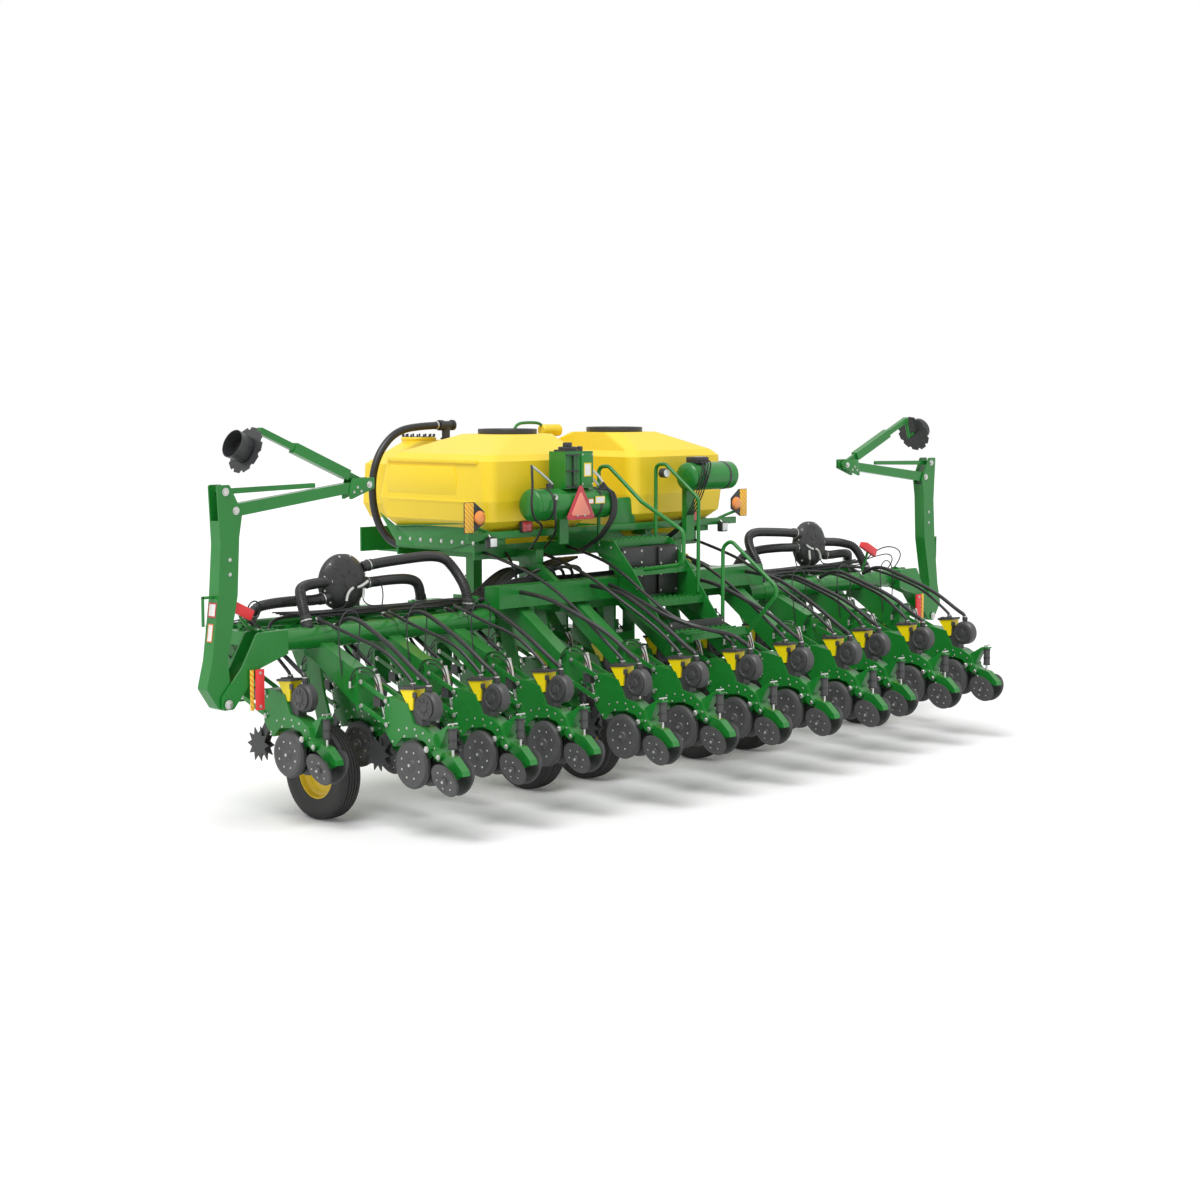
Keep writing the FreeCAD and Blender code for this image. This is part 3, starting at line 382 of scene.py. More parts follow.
def hexBolt(radius, look="zincSteel"):
    # washer and six-sided head with its top edge chamfered
    washer = turned([(0, radius * 1.35), (radius * 0.22, radius * 1.35)], sides=12, look=look)
    head = turned([(radius * 0.2, radius), (radius * 0.68, radius), (radius * 0.8, radius * 0.84)],
                  sides=6, look=look)
    return joined([washer, head])


def bolts(radius, points, direction):
    return spread(hexBolt(radius), [(point, direction) for point in points])


def curveAlong(lines, radius, rings=3, steps=6):
    curve = bpy.data.curves.new("run", "CURVE")
    curve.dimensions = "3D"
    for points in lines:
        run = curve.splines.new("NURBS")
        run.points.add(len(points) - 1)
        for knot, point in zip(run.points, points):
            knot.co = (*point, 1)
        run.order_u = 3
        run.use_endpoint_u = True
    curve.resolution_u = steps
    curve.bevel_depth = radius
    curve.bevel_resolution = rings
    curve.use_fill_caps = radius > 0
    piece = bpy.data.objects.new("run", curve)
    bpy.context.scene.collection.objects.link(piece)
    return piece


hoseLengths = {}


def hoseAlong(lines, radius, look="hoseRubber", rings=3, steps=6, tally=None):
    # round lines along given points; tally keeps how many they are and their length
    path = curveAlong(lines, radius, rings, steps)
    if tally:
        hoseLengths[tally] = (len(lines), sum(run.calc_length() for run in path.data.splines))
    chooseOnly(path)
    bpy.ops.object.convert(target="MESH")
    return coated(bpy.context.object, look)


ductRib = {"pitch": 0.022, "proud": 0.004, "profile": (0.3, 0.5, 0.8), "sides": 18}


def ribbedAlong(points, radius, look="hoseRubber"):
    # one rib of moulded duct, arrayed and bent along its path, its ends closed
    path = curveAlong([points], 0)
    pitch, proud = ductRib["pitch"], ductRib["proud"]
    rise, crest, fall = ductRib["profile"]
    piece = turned([(0, radius), (pitch * rise, radius), (pitch * crest, radius + proud),
                    (pitch * fall, radius + proud), (pitch, radius)],
                   (0, 0, 0), (1, 0, 0), ductRib["sides"], look)
    workFaces(piece, lambda c, n: abs(n.x) > 0.99, lambda: bpy.ops.mesh.delete(type="ONLY_FACE"))
    addModifier(piece, "ARRAY", fit_type="FIT_CURVE", curve=path, use_merge_vertices=True,
                merge_threshold=0.0005)
    addModifier(piece, "CURVE", object=path)
    workFaces(piece, everyFace, lambda: bpy.ops.mesh.fill_holes(sides=0))
    bpy.data.objects.remove(path)
    return piece


def label(centre, across, up, width, height, edgeLook):
    # blank plate 2 mm thick: a border and, inset from it, its white face
    piece = slab((-width / 2, -height / 2, 0), (width / 2, height / 2, 0.002), 0, edgeLook)
    piece.data.materials.append(finish["whiteFilm"])

    def inlay():
        bpy.ops.mesh.inset(thickness=min(width, height) * 0.12)
        piece.active_material_index = 1
        bpy.ops.object.material_slot_assign()
    workFaces(piece, lambda c, n: n.z > 0.9, inlay)
    across, up = Vector(across).normalized(), Vector(up).normalized()
    turn = Matrix((across, up, across.cross(up))).transposed().to_4x4()
    return moved(piece, Matrix.Translation(centre) @ turn)


def finishPiece(pieces, name, body, look=None, angle=35):
    piece = coated(joined(pieces), look)
    piece.name = piece.data.name = name
    piece.data.transform(Matrix.Translation((0, gaugeLine, 0)))
    chooseOnly(piece)
    bpy.ops.object.shade_smooth_by_angle(angle=radians(angle))
    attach(piece, body)
    return piece


# Left-hand points have x below zero; side is -1 for the left and 1 for the right
def sided(points, side):
    return [(-side * x, y, z) for x, y, z in points]


def onSide(point, side):
    return sided([point], side)[0]


def slabOn(side, corner, opposite, edge, look, cuts=()):
    return slab(onSide(corner, side), onSide(opposite, side), edge, look,
                [sided(cut, side) for cut in cuts])


def boltsOn(side, radius, points, direction):
    return bolts(radius, sided(points, side), onSide(direction, side))


def hosesOn(side, lines, radius, *rest, **named):
    return hoseAlong([sided(points, side) for points in lines], radius, *rest, **named)


def circle(count, radius, start=0.0):
    turns = [start + 2 * pi / count * n for n in range(count)]
    return [(radius * cos(t), radius * sin(t)) for t in turns]


def ribsRound(count, corner, opposite, edge, look, base, cuts=()):
    # equal ribs set round an axis, the first one placed by base
    return [moved(slab(corner, opposite, edge, look, cuts),
                  base @ Matrix.Rotation(2 * pi / count * n, 4, "Z")) for n in range(count)]


sideWord = {-1: "left", 1: "right"}
bodyOf = {"left": "left_wing", "centre": "frame", "right": "right_wing"}
rowPitch, frontRank, centreRear = 0.762, 1.138, -0.22
rows = {"left": [(-rowPitch * n, 0) for n in (3, 4, 5)]
        + [(-rowPitch * (n - 0.5), frontRank) for n in (3, 4, 5, 6)],
        "centre": [(rowPitch * n, centreRear) for n in (-2, -1, 0, 1, 2)]
        + [(rowPitch * (n - 0.5), frontRank) for n in (-1, 0, 1, 2)]}
rows["right"] = [(-x, y) for x, y in rows["left"]]


# Wing lines: every unit's air and seed hose, from its meter and its hopper's cap, runs into the
# pipe or along its own lane to the cross plate at the wing's inner end
airHose, seedHose = 0.02, 0.0155
lanes = (1.42, 1.466, 1.512, None, 1.56, 1.606, 1.652)
bulkhead = {"x": -1.85, "z": 1.742, "inner": -1.86, "wave": 0.43}
tube = {"y": 1.3, "z": 1.592}
fan = {"x": -3.3, "y": 1.6, "z": 2.01, "back": 1.68, "boltFace": 1.586}


def startOf(kind, x, y, run):
    # up out of its fitting, then forward and up along a slope
    if kind == "air":
        return [(x, y - 0.1, 1.262), (x, y - 0.098, 1.315), (x, y - 0.02, 1.345),
                (x, y - 0.05 + run * 0.82, 1.3 + run * 0.57)]
    return [(x, y + 0.1, 1.262), (x, y + 0.1, 1.3), (x, y + 0.135, 1.335),
            (x, y + 0.13 + run * 0.82, 1.331 + run * 0.57)]


def wingHoses(side):
    word = sideWord[side]
    air, seed = [], []
    for (x, y), lane in zip(rows["left"], lanes):
        if y == 0:
            air.append(startOf("air", x, y, 0.42) + [
                (x + 0.06, 0.66, 1.68), (x + 0.09, 0.985, 1.79), (x + 0.09, 1.205, 1.687),
                (x + 0.09, 1.27, 1.64)])
            line = startOf("seed", x, y, 0.366) + [(x - 0.06, 0.79, 1.64),
                                                   (x - 0.06, lane - 0.33, 1.735)]
            if x > -2.5:
                line += [(x + 0.036, lane - 0.08, 1.748), (x + 0.236, lane, bulkhead["z"])]
            else:
                line += [(x + 0.06, lane - 0.07, 1.75), (x + 0.36, lane, 1.74)]
            first = x + 0.36
        else:
            air.append(startOf("air", x, y, 0.284) + [
                (x - 0.04, 1.56, 1.61), (x - 0.048, 1.745, 1.672), (x - 0.048, 1.785, 1.685)])
            if lane is None:
                seed.append(startOf("seed", x, y, 0.19) + [
                    (x, 1.622, 1.56), (x + 0.005, 1.7, 1.7)])
                continue
            line = startOf("seed", x, y, 0.232) + [(x + 0.02, lane - 0.06, 1.61),
                                                   (x + 0.13, lane, 1.735), (x + 0.4, lane, 1.746)]
            first = x + 0.4
        if first < -2.2:
            # slightly wavy along its lane
            count = max(2, round((bulkhead["inner"] - first) / bulkhead["wave"]))
            step = (bulkhead["inner"] - first) / count
            line += [(first + step * n, lane + 0.005 * (-1) ** n,
                      bulkhead["z"] + 0.009 * (-1) ** n) for n in range(1, count)]
        seed.append(line + [(bulkhead["x"], lane, bulkhead["z"])])
    # slack cables and small lines tied to the lanes, over the pipe and round to the marker
    small = [[(-4.1, 1.44 + 0.05 * n, 1.78 + 0.006 * n), (-3.6, 1.47 + 0.04 * n, 1.772),
              (-3.1, 1.43 + 0.05 * n, 1.782), (-2.6, 1.48 + 0.04 * n, 1.77),
              (-2.1, 1.45 + 0.05 * n, 1.78), (-1.86, 1.46 + 0.045 * n, 1.772)] for n in range(4)]
    small += [[(-4.40, 2.01 + 0.016 * n, 1.679), (-3.4, 2.0 + 0.018 * n, 1.684),
               (-2.4, 2.02 + 0.014 * n, 1.683), (-1.98, 2.01 + 0.016 * n, 1.679)]
              for n in range(4)]
    small += [[(-4.4, 1.3, 1.68), (-4.55, 1.3, 1.78), (-4.577, 1.32, 1.9), (-4.43, 1.4, 1.95),
               (-4.28, 1.5, 1.866), (-4.26, 1.62, 1.72), (-4.3, 1.78, 1.71)],
              [(-4.36, 1.36, 1.67), (-4.5, 1.36, 1.76), (-4.5, 1.4, 1.86), (-4.36, 1.5, 1.83),
               (-4.3, 1.7, 1.75), (-4.33, 1.96, 1.7)],
              [(-4.33, 1.98, 1.68), (-4.36, 1.95, 1.5), (-4.24, 1.99, 1.36), (-4.12, 2.0, 1.24),
               (-4.088, 2.0, 1.12)]]
    # wire guides hooped over each rear beam
    rear = [x for x, y in rows["left"] if y == 0]
    guides = [[(x - 0.062, 0.93, 1.24), (x - 0.1, 0.93, 1.5), (x - 0.105, 0.93, 1.745),
               (x, 0.93, 1.86), (x + 0.13, 0.93, 1.8), (x + 0.13, 0.93, 1.6),
               (x + 0.062, 0.93, 1.24)] for x in rear]
    made = [hosesOn(side, air, airHose, tally=f"{word} wing air"),
            hosesOn(side, seed, seedHose, tally=f"{word} wing seed"),
            hosesOn(side, small, 0.007, rings=1, tally=f"{word} wing small lines"),
            hosesOn(side, guides, 0.006, "darkSteel", 1)]
    # cuffs where air lines meet the tube and the pipe
    ends = [((x + 0.09, 1.2, 1.69), (x + 0.09, 1.26, 1.645)) for x in rear]
    ends += [((x - 0.048, 1.735, 1.668), (x - 0.048, 1.77, 1.68))
             for x, y in rows["left"] if y > 0]
    made += [rod(*sided(pair, side), 0.026, 16, "zincSteel") for pair in ends]
    # the air pipe with its caps, and the cross plate that the seed lines are plugged into
    made += [turned([(0, 0.034), (0.006, 0.04), (0.05, 0.04), (0.052, 0.044), (0.075, 0.044),
                     (0.077, 0.04), (2.353, 0.04), (2.355, 0.044), (2.378, 0.044), (2.38, 0.04),
                     (2.424, 0.04), (2.43, 0.034)], onSide((-4.3, 1.8, 1.69), side), (-side, 0, 0),
                    24, "greenEnamel"),
             slabOn(side, (-1.875, 1.4, 1.69), (-1.855, 1.74, 1.8), 0.003, "greenEnamel")]
    finishPiece(made, f"{word}WingLines", bodyOf[word])


def ductCuffs(points):
    # a moulded sleeve and its band at each end of a duct
    made = []
    for start, after in (points[:2], points[:-3:-1]):
        start, out = Vector(start), (Vector(after) - Vector(start)).normalized()
        made.append(turned([(0, 0.05), (0.05, 0.05), (0.052, 0.054), (0.068, 0.054), (0.07, 0.05),
                            (0.1, 0.05), (0.105, 0.046)], start + out * 0.02, out, 20,
                           "blackMoulding"))
        made.append(ringBand(0.0555, 0.014, 0.0035, start + out * 0.072, out, "zincSteel"))
    return made


def fanAndDucts(side):
    word = sideWord[side]
    x, y, z = fan["x"], fan["y"], fan["z"]
    centre = onSide((x, fan["back"], z), side)
    forward = (0, -1, 0)
    parts = [turned([(0, 0.215), (0.02, 0.218), (0.022, 0.25), (0.07, 0.252), (0.08, 0.246),
                     (0.1, 0.234), (0.132, 0.2), (0.152, 0.14), (0.158, 0.085), (0.16, 0.084),
                     (0.161, 0.06), (0.168, 0.057), (0.17, 0.02)], centre, forward, 48,
                    "blackMoulding"),
             boltsOn(side, 0.009, [(x + a, fan["boltFace"], z + b)
                                   for a, b in circle(12, 0.236, pi / 12)], forward),
             rod(*sided([(x, 1.67, z), (x, 1.79, z)], side), 0.075, 24, "darkSteel"),
             rod(*sided([(x, 1.78, z), (x, 1.8, z)], side), 0.05, 6, "zincSteel"),
             slabOn(side, (x - 0.04, 1.66, 1.6), (x + 0.04, 1.72, 1.95), 0.004, "greenEnamel"),
             slabOn(side, (x - 0.07, 1.4, 1.645), (x + 0.07, 1.98, 1.67), 0.004, "greenEnamel")]
    # elbows on the fan's stand and the thin lines that leave them
    elbows = [[(-3.223, 1.5, 1.968), (-3.18, 1.5, 1.97), (-3.107, 1.5, 2.014)],
              [(-3.354, 1.5, 1.853), (-3.342, 1.5, 1.94), (-3.275, 1.5, 1.965)],
              [(-3.167, 1.5, 1.858), (-3.16, 1.5, 1.9), (-3.154, 1.5, 1.955)]]
    thin = [[(-3.107, 1.5, 2.014), (-3.0, 1.5, 2.05), (-2.9, 1.52, 1.9), (-2.95, 1.5, 1.78)],
            [(-3.354, 1.5, 1.853), (-3.36, 1.5, 1.8), (-3.5, 1.48, 1.79), (-3.6, 1.46, 1.77)],
            [(-3.167, 1.5, 1.858), (-3.15, 1.48, 1.8), (-3.0, 1.46, 1.79), (-2.9, 1.46, 1.775)]]
    parts += [hosesOn(side, elbows, 0.012, "whiteEnamel", 1),
              hosesOn(side, thin, 0.006, "hoseRubber", 1, tally=f"{word} fan's thin lines")]
    parts += ribsRound(8, (0.08, -0.006, 0), (0.23, 0.006, 0.095), 0.002, "blackMoulding",
                       placement(centre, forward) @ Matrix.Translation((0, 0, 0.075)),
                       [((0.08, 0, 0.092), (0.25, 0, 1)), ((0.2, 0, 0.063), (0.85, 0, 0.5))])
    ducts = [[(x + 0.2, y, z + 0.12), (x + 0.3, y, z + 0.14), (x + 0.64, y - 0.006, z + 0.165),
              (-2.2, 1.55, z + 0.19), (-2.09, 1.48, z + 0.06), (-2.08, 1.3, 1.85),
              (-2.09, 1.3, 1.68)],
             [(x + 0.18, y, z - 0.02), (x + 0.3, y, z - 0.02), (x + 0.54, y + 0.012, z - 0.01),
              (-2.44, 1.68, 1.985), (-2.26, 1.76, 1.9), (-2.221, 1.8, 1.7)],
             [(x - 0.17, y, z - 0.11), (x - 0.3, y, z - 0.14), (x - 0.5, y + 0.008, z - 0.13),
              (-4.05, 1.67, 1.87), (-4.19, 1.76, 1.83), (-4.19, 1.8, 1.7)],
             [(x - 0.1, y, z + 0.02), (x - 0.26, y - 0.01, z + 0.015), (x - 0.5, y - 0.03, z),
              (x - 0.64, 1.42, z - 0.06), (x - 0.64, 1.3, 1.66)]]
    for points in ducts:
        points = sided(points, side)
        parts += [ribbedAlong(points, 0.044)] + ductCuffs(points)
    finishPiece(parts, f"{word}FanAndDucts", bodyOf[word])


for side in (-1, 1):
    wingHoses(side)
    fanAndDucts(side)
print("wing lines and fans made")


def centreHoses():
    air, seed = [], []
    for x, y in rows["centre"]:
        way = (-1 if x > 0 else 1) * (-1 if abs(x) > 1.5 else 1)
        if y < 0 and x == 0:
            runs = 0.195, 0.16
            airRest = [(-0.3, 0.02, 1.48), (-0.42, 0.33, 1.57), (-0.43, 0.7, 1.715),
                       (-0.425, 1.07, 1.835), (-0.425, 1.2, 1.86)]
            seedRest = [(-0.27, 0.08, 1.49), (-0.37, 0.33, 1.57), (-0.37, 0.66, 1.76),
                        (-0.36, 1, 1.96), (-0.35, 1.33, 2.09), (-0.345, 1.75, 2.17)]
        elif y < 0:
            runs = 0.42, 0.366
            airRest = [(x + 0.06 * way, 0.44, 1.7), (x + 0.088 * way, 0.79, 1.83),
                       (x + 0.088 * way, 1.2, 1.845)]
            seedRest = [(x - 0.06 * way, 0.56, 1.74), (x - 0.07 * way, 0.92, 1.93),
                        (x - 0.07 * way, 1.29, 2.06), (x - 0.06 * way, 1.75, 2.165)]
        elif abs(x) < 0.5:
            runs = 0.15, 0.085
            airRest = [(x + 0.025 * way, 1.31, 1.48), (x + 0.045 * way, 1.42, 1.64)]
            seedRest = [(x - 0.025 * way, 1.385, 1.475), (x - 0.045 * way, 1.43, 1.64)]
        else:
            runs = 0.265, 0.195
            airRest = [(x + 0.04 * way, 1.53, 1.59), (x + 0.052 * way, 1.69, 1.68)]
            seedRest = [(x - 0.035 * way, 1.52, 1.64), (x - 0.045 * way, 1.58, 1.85),
                        (x - 0.04 * way, 1.64, 2.03), (x - 0.035 * way, 1.75, 2.15)]
        air.append(startOf("air", x, y, runs[0]) + airRest)
        seed.append(startOf("seed", x, y, runs[1]) + seedRest)
    # the liquid tank's fill line, from the cradle up and over to its tee
    fill = [(-1.4, 2.905, 2.15), (-1.45, 3.08, 2.18), (-1.53, 3.19, 2.33), (-1.58, 3.238, 2.56),
            (-1.585, 3.24, 2.85), (-1.49, 3.24, 3.09), (-1.29, 3.24, 3.28), (-1.01, 3.24, 3.34),
            (-0.66, 3.24, 3.345)]
    # bundles from both cross plates in to the distribution under the seed tanks
    bundle = []
    for side in (-1, 1):
        for n in range(9):
            lift, shift = 0.018 * (n % 3), 0.032 * n
            inner = [(1.15, 1.62, 1.97 + lift), (0.85, 1.66, 1.99 - lift), (0.5, 1.68, 2.0 + lift)]
            run = [(1.84, 1.41 + 0.028 * n, 1.744), (1.66, 1.42 + shift, 1.79),
                   (1.42, 1.5 + shift * 0.8, 1.9 + lift)]
            run += [(x, y + shift * 0.6, z) for x, y, z in inner]
            bundle.append([(side * x, y, z) for x, y, z in run + [(0.16 + 0.03 * n, 1.8, 2.05)]])
        for n in range(4):
            loop = [(0.45 + 0.12 * n, 1.46, 1.84), (0.5 + 0.12 * n, 1.38, 1.98),
                    (0.62 + 0.13 * n, 1.44, 2.02), (0.78 + 0.12 * n, 1.6, 1.95 - 0.02 * n),
                    (0.95 + 0.1 * n, 1.58, 1.885)]
            bundle.append([(side * x, y, z) for x, y, z in loop])
    thin = [[(-1.75 + 0.04 * n, 1.47, 1.86), (-1.4, 1.44, 1.9 + 0.012 * n),
             (-0.7, 1.455, 1.875 + 0.01 * n), (0, 1.45, 1.885 + 0.01 * n),
             (0.8, 1.455, 1.88 + 0.012 * n), (1.4, 1.44, 1.9), (1.72 - 0.04 * n, 1.47, 1.86)]
            for n in range(5)]
    finishPiece([hoseAlong(air, airHose, tally="centre air"),
                 hoseAlong(seed, seedHose, tally="centre seed"),
                 hoseAlong([fill], 0.038, rings=6, steps=12, tally="fill line"),
                 hoseAlong(bundle, seedHose, rings=2, tally="centre bundles"),
                 hoseAlong(thin, 0.008, rings=1, tally="centre small lines")],
                "centreLines", "frame")


centreHoses()
print("centre lines made")

# Tanks: ribbed lids, filler rings with the lids' ears, the liquid tank's neck, cap and tee
seedTank = {"x": 0.759, "y": 2.164, "lid": 3.277, "hinge": (2.464, 3.301), "outer": 1.683}
liquidCap = {"x": -0.76, "y": 3.48, "grip": 0.166}


def tankLids():
    hingeY, hingeZ = seedTank["hinge"]
    for side, word in sideWord.items():
        x = side * seedTank["x"]
        middle = (x, seedTank["y"], seedTank["lid"])
        base = Matrix.Translation(middle)
        parts = [turned([(0, 0.284), (0.003, 0.289), (0.043, 0.289), (0.047, 0.285),
                         (0.0471, 0.27), (0.044, 0.266), (0.024, 0.262), (0.0242, 0.07),
                         (0.04, 0.066), (0.044, 0.06)], middle, sides=64)]
        parts += ribsRound(8, (0.06, -0.014, 0.02), (0.265, 0.014, 0.038), 0.004, None, base)
        parts += ribsRound(24, (0.283, -0.008, 0.006), (0.289, 0.008, 0.04), 0.002, None, base)
        parts += [rod((x - 0.06, hingeY, hingeZ), (x + 0.06, hingeY, hingeZ), 0.011, 16),
                  slab((x - 0.058, 2.42, 3.293), (x + 0.058, 2.466, 3.309), 0.004)]
        lid = finishPiece(parts, f"{word}RibbedLid", f"{word}_tank_lid", "blackMoulding")
        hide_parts(f"{word}_tank_lid")


def tankTrim():
    parts = []
    hingeY, hingeZ = seedTank["hinge"]
    out = -seedTank["outer"]
    for side in (-1, 1):
        x = side * seedTank["x"]
        parts.append(turned([(3.2, 0.33), (3.24, 0.31), (3.262, 0.304), (3.272, 0.3),
                             (3.2745, 0.294)], (x, seedTank["y"], 0), sides=64, look="yellowTank"))
        for off in (-0.071, 0.071):
            parts += [slab((x + off - 0.006, 2.448, 3.25), (x + off + 0.006, 2.482, 3.312),
                           0.003, "yellowTank", [((0, 2.448, 3.3), (0, -1, 0.7))]),
                      rod((x + off * 1.1, hingeY, hingeZ), (x + off * 0.82, hingeY, hingeZ),
                          0.006, 10, "zincSteel")]
        # moulded panel on the tank's outer side, between two long ribs
        parts.append(slabOn(side, (out - 0.001, 1.9, 2.71), (out + 0.03, 2.9, 2.98), 0.012,
                            "yellowTank", [((0, 1.9, 2.86), (0, -1, 0.35)),
                                           ((0, 2.9, 2.86), (0, 1, 0.35))]))
        parts += [slabOn(side, (out - 0.002, 1.62, z - 0.02), (out + 0.04, 2.9, z + 0.02), 0.012,
                         "yellowTank") for z in (2.655, 3.03)]
    x, y, grip = liquidCap["x"], liquidCap["y"], liquidCap["grip"]
    parts += [turned([(3.06, 0.182), (3.1, 0.178), (3.19, 0.175), (3.2, 0.182), (3.212, 0.182),
                      (3.225, 0.172)], (x, y, 0), sides=48, look="yellowTank"),
              turned([(3.225, 0.16), (3.228, 0.165), (3.256, 0.165), (3.262, 0.158),
                      (3.2625, 0.06), (3.28, 0.045), (3.285, 0.03)], (x, y, 0), sides=48,
                     look="blackMoulding"),
              spread(slab((-0.004, -0.009, 0), (0.004, 0.009, 0.028), 0.002, "blackMoulding"),
                     [((x + grip * cos(t), y + grip * sin(t), 3.228), (0, 0, 1), t)
                      for t in (pi / 8 * n for n in range(16))]),
              # tee and its clamp on the fill line
              turned([(3.06, 0.07), (3.12, 0.07), (3.13, 0.062), (3.131, 0.042), (3.2, 0.042),
                      (3.201, 0.056), (3.218, 0.056), (3.219, 0.042), (3.345, 0.042)],
                     (-0.6, 3.24, 0), look="blackMoulding"),
              turned([(0, 0.04), (0.002, 0.054), (0.05, 0.054), (0.052, 0.044), (0.17, 0.044),
                      (0.171, 0.054), (0.2, 0.054), (0.202, 0.046), (0.205, 0.03)],
                     (-0.7, 3.24, 3.345), (1, 0, 0), look="blackMoulding"),
              ringBand(0.0445, 0.017, 0.0045, (-0.74, 3.24, 3.345), (1, 0, 0), "zincSteel", 24)]
    finishPiece(parts, "tankTrim", "frame")


# Cradle's outer saddles: a formed side plate with its row of bolts
def saddles():
    parts = []
    for side in (-1, 1):
        parts += [slabOn(side, (-1.593, 1.62, 2.19), (-1.581, 2.88, 2.46), 0.003, "greenEnamel",
                         [((0, 1.62, 2.45), (0, 0.064, 1)), ((0, 1.65, 2.29), (0, -1, -0.19)),
                          ((0, 1.65, 2.29), (0, -0.1, -0.43)), ((0, 2.05, 2.19), (0, -0.1, -1))]),
                  slabOn(side, (-1.594, 2.6, 2.192), (-1.58, 3.13, 2.51), 0.003, "greenEnamel",
                         [((0, 2.87, 2.37), (0, -0.13, 0.25)),
                          ((0, 2.85, 2.19), (0, 0.31, -0.27))])]
        lip = slabOn(side, (-1.63, 1.63, 2.434), (-1.56, 2.87, 2.446), 0.003, "greenEnamel")
        lip.data.transform(Matrix.Translation((0, 2.25, 2.44)) @ Matrix.Rotation(-0.064, 4, "X")
                           @ Matrix.Translation((0, -2.25, -2.46)))
        parts += [lip, bolts(0.014, [(side * 1.593, 1.76 + 0.15 * n, 2.26) for n in range(8)],
                             (side, 0, 0))]
    parts.append(bolts(0.012, [(x + dx, 1.76, 2.3) for x in (-1.3, -0.5, 0.5, 1.3)
                               for dx in (-0.05, 0.05)], (0, -1, 0)))
    finishPiece(parts, "saddlePlates", "frame")


# Domed drums lying across: the oil drum and, a little smaller, the air tank
dome = [(0, 0.1505), (0.014, 0.149), (0.03, 0.135), (0.042, 0.1), (0.05, 0.055), (0.053, 0.02)]
oilDrum = {"ends": (-1.34, -0.37), "y": 1.23, "z": 2.63, "scale": 1, "bandScale": 1,
           "bands": [(-1.2, "darkSteel"), (-0.56, "darkSteel"), (-1.335, "greenEnamel"),
                     (-0.405, "greenEnamel")]}
airTank = {"ends": (0.76, 1.37), "y": 1.15, "z": 2.84, "scale": 0.93, "bandScale": 0.934,
           "bands": [(0.86, "darkSteel"), (1.25, "darkSteel")]}


def drumTrim(drum):
    y, z, scale, band = drum["y"], drum["z"], drum["scale"], drum["bandScale"]
    steps = [(height * scale, radius * scale) for height, radius in dome]
    made = [turned(steps, (x, y, z), (way, 0, 0), 40, "greenEnamel")
            for x, way in zip(drum["ends"], (-1, 1))]
    return made + [ringBand(0.154 * band, 0.03, 0.004 * band, (x, y, z), (1, 0, 0), look, 40)
                   for x, look in drum["bands"]]


